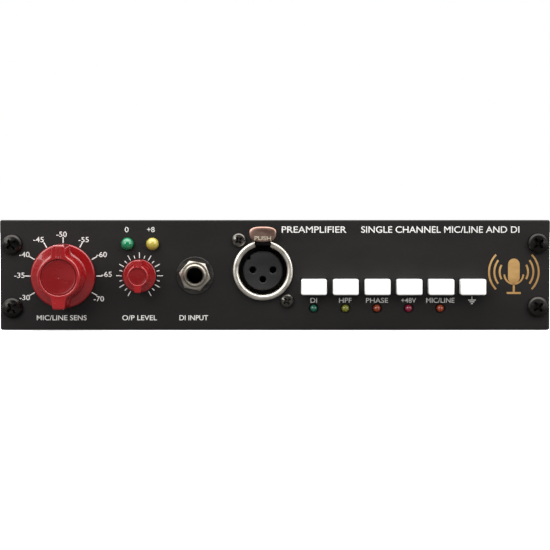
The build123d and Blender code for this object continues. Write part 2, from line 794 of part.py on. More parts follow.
BOARD_FRONT = FRONT_Y + 9.0
BOARD_BACK = REAR_Y - 30.0
BOARD_HALF = 103.5
TOROID_FRONT = TOROID_AT[1] - TOROID_RADIUS - 3

with BuildPart() as main_board:
    slab((-BOARD_HALF, BOARD_FRONT, BOARD_TOP - BOARD_THICK), (BOARD_HALF, BOARD_BACK, BOARD_TOP))
    slab((31.0, TOROID_FRONT, 0), (BOARD_HALF + 1, BOARD_BACK + 1, 20), Mode.SUBTRACT)
    slab((-BOARD_HALF - 1, BOARD_FRONT - 1, 0), (-69.5, BOARD_FRONT + 18, 20), Mode.SUBTRACT)
    with BuildSketch(Plane.XY) as pillar_holes:
        with Locations(*PILLAR_PLACES):
            Circle(PILLAR_HOLE)
    extrude(pillar_holes.sketch, amount=20, mode=Mode.SUBTRACT)
save(main_board, "main_board")

with BuildPart() as board_pillars:
    for x, y in PILLAR_PLACES:
        foot = Plane(origin=(x, y, 0), x_dir=(1, 0, 0), z_dir=(0, 0, 1))
        with BuildSketch(foot.offset(FLOOR_TOP)) as column:
            RegularPolygon(3.2, 6)
        extrude(column.sketch, amount=BOARD_TOP - BOARD_THICK - FLOOR_TOP)
        disc(foot, PILLAR_HOLE - 0.05, BOARD_TOP - BOARD_THICK, BOARD_TOP)
        turned(foot, [
            (0, BOARD_TOP),
            (2.6, BOARD_TOP),
            (2.6, BOARD_TOP + 0.5),
            (1.4, BOARD_TOP + 2.2),
            (0, BOARD_TOP + 2.2),
        ])
save(board_pillars, "board_pillars")

with BuildPart() as input_transformer:
    slab((-24, FRONT_Y + 50, BOARD_TOP), (2, FRONT_Y + 76, BOARD_TOP + 24))
    fillet(input_transformer.edges().filter_by(Axis.Z), 3.0)
    fillet(input_transformer.faces().sort_by(Axis.Z)[-1].edges(), 1.0)
save(input_transformer, "input_transformer")

OUTPUT_CORE = (-64.0, REAR_Y - 80.0)
CORE_FRONT = OUTPUT_CORE[1] - 8
CORE_BACK = OUTPUT_CORE[1] + 8
with BuildPart() as core:
    slab(
        (OUTPUT_CORE[0] - 21, CORE_FRONT, BOARD_TOP + 2),
        (OUTPUT_CORE[0] + 21, CORE_BACK, BOARD_TOP + 28),
    )
    for side in (-1, 1):
        window_x = OUTPUT_CORE[0] + side * 10.5
        slab(
            (window_x - 3.5, CORE_FRONT, BOARD_TOP + 8),
            (window_x + 3.5, CORE_BACK, BOARD_TOP + 22),
            Mode.SUBTRACT,
        )
with BuildPart() as winding:
    slab(
        (OUTPUT_CORE[0] - 13.9, CORE_FRONT - 6, BOARD_TOP + 8.1),
        (OUTPUT_CORE[0] + 13.9, CORE_BACK + 6, BOARD_TOP + 21.9),
    )
    fillet(winding.edges().filter_by(Axis.Z), 4.0)
    slab(
        (OUTPUT_CORE[0] - 7.1, CORE_FRONT - 0.1, BOARD_TOP + 7),
        (OUTPUT_CORE[0] + 7.1, CORE_BACK + 0.1, BOARD_TOP + 23),
        Mode.SUBTRACT,
    )
    for foot_y in (CORE_FRONT - 4.5, CORE_BACK + 1.5):
        slab(
            (OUTPUT_CORE[0] - 12, foot_y, BOARD_TOP),
            (OUTPUT_CORE[0] + 12, foot_y + 3, BOARD_TOP + 8.1),
        )
output_transformer = Compound(children=[core.part.solid(), winding.part.solid()])
output_transformer.label = "output_transformer"
export_step(output_transformer, "parts/output_transformer.step")

TOROID_TOP = FLOOR_TOP + 29.0
toroid_foot = Plane(origin=(TOROID_AT[0], TOROID_AT[1], 0), x_dir=(1, 0, 0), z_dir=(0, 0, 1))

with BuildPart() as mains_transformer:
    with BuildSketch(Plane(origin=toroid_foot.origin, x_dir=(1, 0, 0), z_dir=(0, -1, 0))) as ring:
        with Locations(((TOROID_RADIUS + TOROID_HOLE) / 2, (FLOOR_TOP + 1.5 + TOROID_TOP) / 2)):
            RectangleRounded(TOROID_RADIUS - TOROID_HOLE, TOROID_TOP - FLOOR_TOP - 1.5, 6.0)
    revolve(ring.sketch, axis=Axis(toroid_foot.origin, (0, 0, 1)))
save(mains_transformer, "mains_transformer")

with BuildPart() as transformer_clamp:
    disc(toroid_foot, 26, FLOOR_TOP, FLOOR_TOP + 1.5)
    turned(
        toroid_foot,
        [
            (2.5, TOROID_TOP - 2.0),
            (6.0, TOROID_TOP - 2.0),
            (9.5, TOROID_TOP),
            (22.0, TOROID_TOP),
            (22.0, TOROID_TOP + 1.2),
            (9.0, TOROID_TOP + 1.2),
            (5.5, TOROID_TOP - 0.8),
            (2.5, TOROID_TOP - 0.8),
        ],
    )
    disc(toroid_foot, 2.5, FLOOR_TOP + 1.5, TOROID_TOP - 0.8)
    with BuildSketch(toroid_foot.offset(TOROID_TOP - 0.8)) as bolt_head:
        RegularPolygon(4.6, 6)
    extrude(bolt_head.sketch, amount=3.5)
save(transformer_clamp, "transformer_clamp")

SINK_X = -98.0
SINK_FRONT = REAR_Y - 118.0
SINK_LENGTH = 62.0
SINK_FOOT = BOARD_TOP
SINK_TOP = BOARD_TOP + 25.0
with BuildPart() as heatsink:
    slab((SINK_X, SINK_FRONT, SINK_FOOT), (SINK_X + 3.0, SINK_FRONT + SINK_LENGTH, SINK_TOP))
    fin_count = 11
    for fin in range(fin_count):
        y = SINK_FRONT + fin * (SINK_LENGTH - 1.4) / (fin_count - 1)
        slab((SINK_X - 5.0, y, SINK_FOOT), (SINK_X, y + 1.4, SINK_TOP))
save(heatsink, "heatsink")

with BuildPart() as power_transistors:
    for slot in range(3):
        y = SINK_FRONT + 12 + slot * 19
        slab((SINK_X + 3.0, y - 5, BOARD_TOP + 6), (SINK_X + 7.6, y + 5, BOARD_TOP + 15))
        slab((SINK_X + 3.0, y - 5, BOARD_TOP + 15), (SINK_X + 4.3, y + 5, BOARD_TOP + 21.5))
        for leg in (-1, 0, 1):
            slab(
                (SINK_X + 5.2, y + leg * 2.54 - 0.4, BOARD_TOP),
                (SINK_X + 5.7, y + leg * 2.54 + 0.4, BOARD_TOP + 6),
            )
save(power_transistors, "power_transistors")

CAPACITORS = [
    (30, FRONT_Y + 40, 8.0, 25.0),
    (48, FRONT_Y + 40, 8.0, 25.0),
    (66, FRONT_Y + 40, 8.0, 25.0),
    (84, FRONT_Y + 40, 8.0, 25.0),
    (-56, FRONT_Y + 40, 5.0, 16.0),
    (-42, FRONT_Y + 40, 5.0, 16.0),
    (-56, FRONT_Y + 56, 5.0, 16.0),
    (-42, FRONT_Y + 56, 5.0, 16.0),
    (-20, REAR_Y - 70, 6.3, 20.0),
    (-20, REAR_Y - 50, 6.3, 20.0),
    (0, REAR_Y - 70, 6.3, 20.0),
    (0, REAR_Y - 50, 6.3, 20.0),
]
with BuildPart() as electrolytic_capacitors:
    for x, y, radius, height in CAPACITORS:
        foot = Plane(origin=(x, y, BOARD_TOP), x_dir=(1, 0, 0), z_dir=(0, 0, 1))
        turned(
            foot,
            [
                (0, 0),
                (radius - 0.4, 0),
                (radius, 0.4),
                (radius, 2.0),
                (radius - 0.5, 2.4),
                (radius, 2.8),
                (radius, height - 0.5),
                (radius - 0.5, height),
                (0, height),
            ],
        )
save(electrolytic_capacitors, "electrolytic_capacitors")

# ---------------------------------------------------------------- mains inlet, fuse drawer and rocker

INLET_FLANGE = 2.5
INLET_DEPTH = 28.0
BLADE_TAIL = 4.0
CAVITY_AT = (-12.6, 0.0)
CAVITY_WIDTH = 24.5
CAVITY_HEIGHT = 16.5
CAVITY_FLOOR = -13.0
DRAWER_AT = (5.6, 0.0)
DRAWER_WIDTH = 7.4
DRAWER_HEIGHT = 20.0
DRAWER_BACK = -24.0
ROCKER_AT = (18.2, 0.0)
ROCKER_WIDTH = 11.6
ROCKER_HALF = 9.6
ROCKER_TILT = 8.0
ROCKER_PIVOT = -1.0
WINDOW_HALF = 10.6

inlet_holes = [shifted(mains_seat, side * 26.6, 0) for side in (-1, 1)]
cavity_seat = shifted(mains_seat, *CAVITY_AT)
drawer_seat = shifted(mains_seat, *DRAWER_AT)
rocker_seat = shifted(mains_seat, *ROCKER_AT)

with BuildPart() as mains_inlet:
    block(mains_seat, INLET_WIDTH, INLET_HEIGHT, 0, INLET_FLANGE, corner=3.0)
    fillet(mains_inlet.faces().sort_by(Axis.Y)[-1].edges(), 0.8)
    block(mains_seat, INLET_BODY_WIDTH, INLET_BODY_HEIGHT, -INLET_DEPTH, 0)
    with BuildSketch(cavity_seat.offset(CAVITY_FLOOR)) as cavity:
        with BuildLine():
            Polyline(
                (-CAVITY_WIDTH / 2, -CAVITY_HEIGHT / 2),
                (CAVITY_WIDTH / 2, -CAVITY_HEIGHT / 2),
                (CAVITY_WIDTH / 2, CAVITY_HEIGHT / 2 - 5),
                (CAVITY_WIDTH / 2 - 5, CAVITY_HEIGHT / 2),
                (-CAVITY_WIDTH / 2 + 5, CAVITY_HEIGHT / 2),
                (-CAVITY_WIDTH / 2, CAVITY_HEIGHT / 2 - 5),
                close=True,
            )
        make_face()
        fillet(cavity.vertices(), 1.0)
    extrude(cavity.sketch, amount=INLET_FLANGE - CAVITY_FLOOR + 1, mode=Mode.SUBTRACT)
    block(
        drawer_seat,
        DRAWER_WIDTH + 0.4,
        DRAWER_HEIGHT + 0.4,
        DRAWER_BACK - 1,
        INLET_FLANGE + 1,
        Mode.SUBTRACT,
    )
    block(rocker_seat, ROCKER_WIDTH + 0.6, 2 * WINDOW_HALF, -11, INLET_FLANGE + 1, Mode.SUBTRACT)
    pivot_axis = Plane(
        origin=rocker_seat.offset(ROCKER_PIVOT).origin, x_dir=(0, 1, 0), z_dir=(1, 0, 0)
    )
    disc(pivot_axis, 1.25, -ROCKER_WIDTH / 2 - 1.2, ROCKER_WIDTH / 2 + 1.2, Mode.SUBTRACT)
    for across, up in ((-7.0, -2.0), (7.0, -2.0), (0.0, 2.0)):
        block(shifted(cavity_seat, across, up), 2.0, 4.0, -INLET_DEPTH, CAVITY_FLOOR, Mode.SUBTRACT)
save(mains_inlet, "mains_inlet")

with BuildPart() as inlet_pins:
    for across, up in ((-7.0, -2.0), (7.0, -2.0), (0.0, 2.0)):
        block(shifted(cavity_seat, across, up), 2.0, 4.0, -INLET_DEPTH - BLADE_TAIL, 1.0)
save(inlet_pins, "inlet_pins")

FUSE_RADIUS = 2.6
FUSE_LENGTH = 20.0
fuse_seat = shifted(drawer_seat, 0, -4.0).offset(DRAWER_BACK + 1.5)
with BuildPart() as drawer:
    block(drawer_seat, DRAWER_WIDTH, DRAWER_HEIGHT, DRAWER_BACK, INLET_FLANGE + 0.6)
    block(shifted(drawer_seat, 0, 8.0), 3.6, 1.2, INLET_FLANGE - 0.6, INLET_FLANGE + 1, Mode.SUBTRACT)
    block(
        shifted(fuse_seat, 2.5, 0),
        5 + 2 * FUSE_RADIUS,
        2 * FUSE_RADIUS,
        0,
        FUSE_LENGTH,
        Mode.SUBTRACT,
    )
with BuildPart() as fuse:
    disc(fuse_seat, FUSE_RADIUS, 0, FUSE_LENGTH)
fuse_drawer = Compound(children=[drawer.part.solid(), fuse.part.solid()])
fuse_drawer.label = "fuse_drawer"
export_step(fuse_drawer, "parts/fuse_drawer.step")

with BuildPart() as power_rocker:
    lean = math.radians(ROCKER_TILT)
    across = (0, math.sin(lean), math.cos(lean))
    side_on = Plane(origin=pivot_axis.origin, x_dir=across, z_dir=(-1, 0, 0))
    with BuildSketch(side_on.offset(-ROCKER_WIDTH / 2)) as section:
        with BuildLine():
            Polyline(
                (-ROCKER_HALF, 3.7),
                (0, 2.6),
                (ROCKER_HALF, 3.7),
                (ROCKER_HALF - 1.6, -4.5),
                (3.0, -7.5),
                (-3.0, -7.5),
                (-ROCKER_HALF + 1.6, -4.5),
                close=True,
            )
        make_face()
    extrude(section.sketch, amount=ROCKER_WIDTH)
    disc(pivot_axis, 1.2, -ROCKER_WIDTH / 2 - 1.0, ROCKER_WIDTH / 2 + 1.0)
save(power_rocker, "power_rocker")

# ---------------------------------------------------------------- mains wiring

WIRE = 1.0
WIRE_LEVEL = FLOOR_TOP + 3.0
WIRE_TURN = 2.5
wire_start_y = REAR_Y - INLET_DEPTH - BLADE_TAIL + 1.5
toroid_reach = TOROID_RADIUS - 1.0
with BuildPart() as mains_wires:
    for side, blade in ((1, (-7.0, -2.0)), (-1, (7.0, -2.0))):
        tail = shifted(cavity_seat, blade[0], blade[1] - 2.0).origin
        end_x = TOROID_AT[0] + side * (TOROID_RADIUS + 2.5)
        with BuildLine() as route:
            FilletPolyline(
                (tail.X, wire_start_y, tail.Z),
                (tail.X, wire_start_y, WIRE_LEVEL),
                (end_x, wire_start_y, WIRE_LEVEL),
                (end_x, TOROID_AT[1], WIRE_LEVEL),
                (TOROID_AT[0] + side * toroid_reach, TOROID_AT[1], WIRE_LEVEL),
                radius=WIRE_TURN,
            )
        with BuildSketch(Plane(origin=route.line @ 0, z_dir=route.line % 0)) as cut:
            Circle(WIRE)
        sweep(cut.sketch, path=route.line)
save(mains_wires, "mains_wires")
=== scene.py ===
# %% [markdown]
# # Dressing a microphone preamp
# The folded steel case, the sockets and every moving control come ready made, in real size, as a
# frame of named pieces. This lesson gives each of them the finish it has on a real unit, prints
# the legends on the front panel, and makes the few shapes that need softer surfaces: the
# red pointer knobs, the domed lamps, the latch plates and the wound transformer.
# All lengths are in metres; +Z is up and the front panel faces -Y.

import json
import math

import bmesh
import bpy
import numpy as np
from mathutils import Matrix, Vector


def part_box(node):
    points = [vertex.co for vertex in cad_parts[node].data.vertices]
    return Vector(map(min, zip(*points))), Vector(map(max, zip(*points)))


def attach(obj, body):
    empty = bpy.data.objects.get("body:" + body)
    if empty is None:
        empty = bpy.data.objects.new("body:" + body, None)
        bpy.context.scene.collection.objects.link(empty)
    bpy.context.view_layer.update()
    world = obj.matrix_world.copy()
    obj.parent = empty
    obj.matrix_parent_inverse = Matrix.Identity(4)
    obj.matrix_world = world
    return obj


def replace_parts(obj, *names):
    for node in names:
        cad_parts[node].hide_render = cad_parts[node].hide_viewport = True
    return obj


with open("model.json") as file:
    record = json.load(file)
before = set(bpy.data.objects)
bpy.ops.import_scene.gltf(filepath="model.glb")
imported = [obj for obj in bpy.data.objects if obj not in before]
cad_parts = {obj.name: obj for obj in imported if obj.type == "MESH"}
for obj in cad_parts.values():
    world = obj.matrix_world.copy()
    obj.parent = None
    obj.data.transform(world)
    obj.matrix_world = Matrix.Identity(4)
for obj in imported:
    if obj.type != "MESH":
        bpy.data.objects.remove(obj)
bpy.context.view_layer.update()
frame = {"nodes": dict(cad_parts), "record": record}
MM = 0.001
print("pieces in the frame:", len(frame["nodes"]))

# %% [markdown]
# ## Where things are
# A panel-mounted piece is easiest to think about from its own seat: a point on the panel with one
# direction across, one up and one out at the user. The seats below are read from the frame's own
# boxes, so a piece made here always lands on the one it belongs to.

# %% Seats on the two panels
panel_low, panel_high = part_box("front_panel")
FRONT_Y = panel_low.y
CENTRE_Z = (panel_low.z + panel_high.z) / 2
REAR_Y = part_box("rear_panel")[1].y


class Seat:
    """A place on a panel: its point, and its directions across, up and out."""

    def __init__(self, point, across, up, out):
        self.point = np.array(point, float)
        self.across = np.array(across, float)
        self.up = np.array(up, float)
        self.out = np.array(out, float)

    def place(self, u, v, w):
        """Millimetres across, up and out, as whole arrays, to metres in the object's frame."""
        u, v, w = (np.asarray(part, float)[..., None] * MM for part in (u, v, w))
        return self.point + u * self.across + v * self.up + w * self.out


def front_seat(x, z):
    """A seat on the front panel's face, at x and z in metres."""
    return Seat((x, FRONT_Y, z), (1, 0, 0), (0, 0, 1), (0, -1, 0))


def rear_seat(x, z):
    """A seat on the rear panel's face; across runs as the back is read."""
    return Seat((x, REAR_Y, z), (-1, 0, 0), (0, 0, 1), (0, 1, 0))


def seat_of(node, make_seat=front_seat):
    """The seat under the middle of a node's box."""
    low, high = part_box(node)
    return make_seat((low.x + high.x) / 2, (low.z + high.z) / 2)


gain_seat = seat_of("gain_knob")
level_seat = seat_of("level_knob")
jack_seat = seat_of("di_jack_bush")
mic_seat = seat_of("mic_socket_insert")
line_seat = seat_of("line_socket_insert", rear_seat)
output_seat = seat_of("output_socket_insert", rear_seat)
print("gain knob sits at", (gain_seat.point / MM).round(1))

# %% [markdown]
# ## Camera
# A rack unit is seen from straight in front with a long lens, so that the panel's edges stay
# parallel. At a given distance, the lens that just frames the panel's full width follows from
# similar triangles: sensor width times distance over panel width.
# The camera is a little above the panel's middle, but low enough that the panel hides the cover.

# %% Camera
CAMERA_AWAY = 0.70
CAMERA_RISE = 0.0272
SENSOR = 36.0
panel_width = panel_high.x - panel_low.x
aim = Vector((0.0, FRONT_Y, CENTRE_Z))
camera_data = bpy.data.cameras.new("camera")
camera_data.sensor_width = SENSOR
camera_data.lens = SENSOR * CAMERA_AWAY / panel_width
camera_data.clip_end = 30.0
camera = bpy.data.objects.new("camera", camera_data)
camera.location = aim + Vector((0.0, -CAMERA_AWAY, CAMERA_RISE))
camera.rotation_euler = (aim - camera.location).to_track_quat("-Z", "Y").to_euler()
bpy.context.scene.collection.objects.link(camera)
bpy.context.scene.camera = camera
print("lens", round(camera_data.lens, 1), "mm")

# %% [markdown]
# ## Light
# Dark paint shows little by itself, and nickel shows only what it reflects, so both need large
# soft sources: one broad panel above and in front, a second to the side to draw a bright edge on
# the round parts, and pale walls. The room is darker behind the camera, because that is what a
# flat front reflects: there it stays deep in colour, while every rounded edge draws a bright line.

# %% Softboxes


def softbox(name, place, watts, width, height, target=(0.0, 0.0, 0.02)):
    """A rectangular area light that looks at the unit."""
    data = bpy.data.lights.new(name, "AREA")
    data.shape = "RECTANGLE"
    data.size = width
    data.size_y = height
    data.energy = watts
    lamp = bpy.data.objects.new(name, data)
    lamp.location = place
    aim_at = Vector(target) - Vector(place)
    lamp.rotation_euler = aim_at.to_track_quat("-Z", "Y").to_euler()
    bpy.context.scene.collection.objects.link(lamp)


softbox("key_softbox", (-0.8, -1.15, 0.5), 5.6, 0.7, 0.6)
softbox("side_softbox", (1.05, -0.95, 0.45), 4.2, 0.6, 0.6)
softbox("top_softbox", (0.0, -0.6, 1.4), 3.0, 1.4, 0.5, (0.0, -0.15, 0.02))
softbox("back_softbox", (-0.4, 1.5, 0.9), 10.0, 1.2, 0.8)

# %% [markdown]
# ## The room
# The walls' strength is the product of two smooth steps along a ray's direction. One rises with
# Z, from the walls to the bright ceiling, and the other with Y, out of the dark behind the camera.
# The camera itself sees plain white.

# %% Room
CEILING_FROM, CEILING_FULL, CEILING_STRENGTH = 0.3, 0.85, 3.5
DARK_FROM, BRIGHT_FROM, DARK_STRENGTH = -0.92, -0.60, 0.06
world = bpy.data.worlds.new("studio")
world.use_nodes = True
sky = world.node_tree
walls = sky.nodes["Background"]
walls.inputs["Color"].default_value = (1.0, 0.99, 0.975, 1.0)


def sky_ramp(value, low, high, dark, light):
    """A smooth step from one strength to another between two values."""
    node = sky.nodes.new("ShaderNodeMapRange")
    node.interpolation_type = "SMOOTHSTEP"
    node.inputs["From Min"].default_value = low
    node.inputs["From Max"].default_value = high
    node.inputs["To Min"].default_value = dark
    node.inputs["To Max"].default_value = light
    sky.links.new(value, node.inputs["Value"])
    return node.outputs["Result"]


toward = sky.nodes.new("ShaderNodeTexCoord")
split = sky.nodes.new("ShaderNodeSeparateXYZ")
sky.links.new(toward.outputs["Generated"], split.inputs[0])
overhead = sky_ramp(split.outputs["Z"], CEILING_FROM, CEILING_FULL, 1.0, CEILING_STRENGTH)
away_from_camera = sky_ramp(split.outputs["Y"], DARK_FROM, BRIGHT_FROM, DARK_STRENGTH, 1.0)
strength = sky.nodes.new("ShaderNodeMath")
strength.operation = "MULTIPLY"
sky.links.new(overhead, strength.inputs[0])
sky.links.new(away_from_camera, strength.inputs[1])
sky.links.new(strength.outputs[0], walls.inputs["Strength"])
paper = sky.nodes.new("ShaderNodeBackground")
paper.inputs["Color"].default_value = (1.0, 1.0, 1.0, 1.0)
light_path = sky.nodes.new("ShaderNodeLightPath")
either = sky.nodes.new("ShaderNodeMixShader")
sky.links.new(light_path.outputs["Is Camera Ray"], either.inputs[0])
sky.links.new(walls.outputs[0], either.inputs[1])
sky.links.new(paper.outputs[0], either.inputs[2])
sky.links.new(either.outputs[0], sky.nodes["World Output"].inputs["Surface"])
bpy.context.scene.world = world
bpy.context.scene.view_settings.view_transform = "Standard"
print("room nodes:", len(sky.nodes))

# %% [markdown]
# ## Helpers for materials
# A material here is a small tree of nodes. Writing it in code is short work with four helpers. The
# first adds a node and wires its inputs, and the second starts a material with its shader. The
# others turn a chart colour into a shader's colour, and blend between two of them.

# %% Material helpers


def add_node(tree, kind, inputs=None, **settings):
    """Adds a node, sets its properties, and fills inputs with values or wires from other nodes."""
    node = tree.nodes.new(kind)
    for key, value in settings.items():
        setattr(node, key, value)
    for key, value in (inputs or {}).items():
        if isinstance(value, bpy.types.NodeSocket):
            tree.links.new(value, node.inputs[key])
        else:
            node.inputs[key].default_value = value
    return node


def start_material(name, **values):
    """A material with a Principled shader whose plain values are set on its own sockets."""
    material = bpy.data.materials.new(name)
    material.use_nodes = True
    tree = material.node_tree
    shader = tree.nodes["Principled BSDF"]
    for key, value in values.items():
        shader.inputs[key.replace("_", " ")].default_value = value
    place = add_node(tree, "ShaderNodeTexCoord").outputs["Object"]
    return material, tree, shader, place


def paint_rgb(red, green, blue):
    """Turns a colour as read off a chart, 0 to 255, into the linear values that a shader wants."""
    chart = np.array([red, green, blue]) / 255.0
    linear = np.where(chart <= 0.04045, chart / 12.92, ((chart + 0.055) / 1.055) ** 2.4)
    return (*[float(part) for part in linear], 1.0)


def ramp(tree, mask, low, high, dark, light):
    """Maps a mask between two levels onto two colours."""
    node = add_node(tree, "ShaderNodeMapRange", {"Value": mask, "From Min": low, "From Max": high})
    mix = add_node(tree, "ShaderNodeMix", {"Factor": node.outputs["Result"]}, data_type="RGBA")
    mix.inputs["A"].default_value = dark
    mix.inputs["B"].default_value = light
    return mix.outputs["Result"]


print("mid grey on the chart is", round(paint_rgb(128, 128, 128)[0], 3), "in the shader")

# %% [markdown]
# ## Effects that finishes share
# Powder coat, moulded plastic and plated metal each have their own fine surface, but they are made
# from a few common effects: a fine grain, soft smears from handling, and the rings that a lathe
# leaves. Each effect is a node group, built once, that gives out only masks and heights.

# %% Shared effect groups


def new_group(name, ins, outs):
    """An empty node group with named number inputs (and their defaults) and outputs."""
    group = bpy.data.node_groups.new(name, "ShaderNodeTree")
    group.interface.new_socket("Place", in_out="INPUT", socket_type="NodeSocketVector")
    for key, default in ins.items():
        socket = group.interface.new_socket(key, in_out="INPUT", socket_type="NodeSocketFloat")
        socket.default_value = default
    for key in outs:
        group.interface.new_socket(key, in_out="OUTPUT", socket_type="NodeSocketFloat")
    return group, group.nodes.new("NodeGroupInput"), group.nodes.new("NodeGroupOutput")


def grain_group():
    """Grain: two octaves of noise, one at the stated scale and one 2.7 times finer, added."""
    group, source, sink = new_group("grain", {"Scale": 1500.0, "Fine share": 0.4}, ["Height"])
    coarse = add_node(
        group,
        "ShaderNodeTexNoise",
        {"Vector": source.outputs["Place"], "Scale": source.outputs["Scale"], "Detail": 2.0},
    )
    finer = add_node(
        group, "ShaderNodeMath", {0: source.outputs["Scale"], 1: 2.7}, operation="MULTIPLY"
    )
    fine = add_node(
        group,
        "ShaderNodeTexNoise",
        {"Vector": source.outputs["Place"], "Scale": finer.outputs[0], "Detail": 1.0},
    )
    share = add_node(
        group,
        "ShaderNodeMath",
        {0: fine.outputs["Fac"], 1: source.outputs["Fine share"], 2: coarse.outputs["Fac"]},
        operation="MULTIPLY_ADD",
    )
    group.links.new(share.outputs[0], sink.inputs["Height"])
    return group


def smear_group():
    """Smears: slow noise stretched sideways, sharpened to soft patches between 0 and 1."""
    group, source, sink = new_group("smears", {"Scale": 14.0}, ["Mask"])
    stretch = add_node(
        group, "ShaderNodeMapping", {"Vector": source.outputs["Place"], "Scale": (0.6, 1.0, 1.7)}
    )
    noise = add_node(
        group,
        "ShaderNodeTexNoise",
        {
            "Vector": stretch.outputs["Vector"],
            "Scale": source.outputs["Scale"],
            "Detail": 5.0,
            "Roughness": 0.62,
        },
    )
    soft = add_node(
        group,
        "ShaderNodeMapRange",
        {"Value": noise.outputs["Fac"], "From Min": 0.35, "From Max": 0.7},
        interpolation_type="SMOOTHSTEP",
    )
    group.links.new(soft.outputs["Result"], sink.inputs["Mask"])
    return group


def lathe_group():
    """Lathe rings: the distance from the Y axis, times the number of rings, through a sine."""
    group, source, sink = new_group("lathe_rings", {"Rings": 9000.0}, ["Height"])
    parts = add_node(group, "ShaderNodeSeparateXYZ", {"Vector": source.outputs["Place"]})
    flat = add_node(
        group, "ShaderNodeCombineXYZ", {"X": parts.outputs["X"], "Z": parts.outputs["Z"]}
    )
    away = add_node(
        group, "ShaderNodeVectorMath", {0: flat.outputs["Vector"]}, operation="LENGTH"
    )
    turns = add_node(
        group,
        "ShaderNodeMath",
        {0: away.outputs["Value"], 1: source.outputs["Rings"]},
        operation="MULTIPLY",
    )
    wave = add_node(group, "ShaderNodeMath", {0: turns.outputs[0]}, operation="SINE")
    group.links.new(wave.outputs[0], sink.inputs["Height"])
    return group


EFFECTS = {"grain": grain_group(), "smears": smear_group(), "lathe": lathe_group()}
print("shared effects:", sorted(EFFECTS))

# %% [markdown]
# ## Using the effects
# A material asks for an effect by name, and feeds what comes out to its bump or its roughness.

# %% Effect helpers


def effect(tree, name, place, **values):
    """Puts one of the shared groups into a material, with its own values."""
    node = tree.nodes.new("ShaderNodeGroup")
    node.node_tree = EFFECTS[name]
    tree.links.new(place, node.inputs["Place"])
    for key, value in values.items():
        node.inputs[key.replace("_", " ")].default_value = value
    return node.outputs[0]


def bump(tree, shader, height, strength, distance):
    """Feeds a height to the shader's normal."""
    node = add_node(
        tree,
        "ShaderNodeBump",
        {"Height": height, "Strength": strength, "Distance": distance},
    )
    tree.links.new(node.outputs["Normal"], shader.inputs["Normal"])


def vary_roughness(tree, shader, mask, low, high):
    """Lets the roughness move between two values with a mask."""
    node = add_node(tree, "ShaderNodeMapRange", {"Value": mask, "To Min": low, "To Max": high})
    tree.links.new(node.outputs["Result"], shader.inputs["Roughness"])


print("helpers: effect, bump, vary_roughness")

# %% [markdown]
# ## Powder coat
# The panel and case have a charcoal powder coat: a paint that is sprayed dry and baked, which
# dries to a fine pebbled skin. A fine grain drives the bump, the same grain darkens the hollows
# a touch as painted shade, and broad smears shift the sheen where hands have been.

# %% Powder coats


def powder_coat(name, dark, light, roughness):
    """Charcoal coat: colour between two near tones by grain, as painted shade in the hollows, and by
    smears; pebbled bump.
    """
    material, tree, shader, place = start_material(name, Specular_IOR_Level=0.3)
    pebbles = effect(tree, "grain", place, Scale=2600.0, Fine_share=0.5)
    smears = effect(tree, "smears", place, Scale=16.0)
    # The grain's low places darken the colour: painted shade in the pebbles' hollows.
    both = add_node(tree, "ShaderNodeMath", {0: pebbles, 1: 0.55}, operation="MULTIPLY")
    both = add_node(
        tree, "ShaderNodeMath", {0: smears, 1: 0.35, 2: both.outputs[0]}, operation="MULTIPLY_ADD"
    )
    tree.links.new(ramp(tree, both.outputs[0], 0.2, 0.9, dark, light), shader.inputs["Base Color"])
    vary_roughness(tree, shader, smears, roughness, roughness + 0.12)
    bump(tree, shader, pebbles, 0.35, 0.00006)
    return material


panel_coat = powder_coat("panel_coat", paint_rgb(19, 18, 17), paint_rgb(29, 27, 26), 0.46)
case_coat = powder_coat("case_coat", paint_rgb(27, 26, 26), paint_rgb(38, 36, 36), 0.44)
print("powder coats:", panel_coat.name, case_coat.name)

# %% [markdown]
# ## Metals
# Satin nickel on the sockets and the jack, black zinc on the screws and plain plated steel inside
# are the same recipe with different numbers: full metal, a colour that smears a little, a fine
# grain or lathe rings in the bump. The rings are centred on each turned piece by a Mapping node.

# %% Metals


def plated_metal(name, dark, light, roughness, centre=None, grain_depth=0.12):
    """Metal whose colour and roughness drift with smears between two chart colours.

    A turned part gives its centre, and gets lathe rings about it in place of the grain.
    """
    material, tree, shader, place = start_material(name, Metallic=1.0)
    smears = effect(tree, "smears", place, Scale=190.0)
    shade = ramp(tree, smears, 0.0, 1.0, paint_rgb(*dark), paint_rgb(*light))
    tree.links.new(shade, shader.inputs["Base Color"])
    vary_roughness(tree, shader, smears, roughness, roughness + 0.1)
    if centre is None:
        height = effect(tree, "grain", place, Scale=5200.0)
    else:
        shift = tuple(-part for part in centre)
        moved = add_node(tree, "ShaderNodeMapping", {"Vector": place, "Location": shift})
        height = effect(tree, "lathe", moved.outputs["Vector"], Rings=26000.0)
    bump(tree, shader, height, grain_depth, 0.00002)
    return material


NICKEL_DARK, NICKEL_LIGHT = (208, 202, 190), (234, 229, 218)


def turned_metal(name, seat, dark=NICKEL_DARK, light=NICKEL_LIGHT, roughness=0.32, depth=0.1):
    """Plated metal with its lathe rings centred on a seat; satin nickel unless told otherwise."""
    return plated_metal(name, dark, light, roughness, tuple(seat.point), depth)


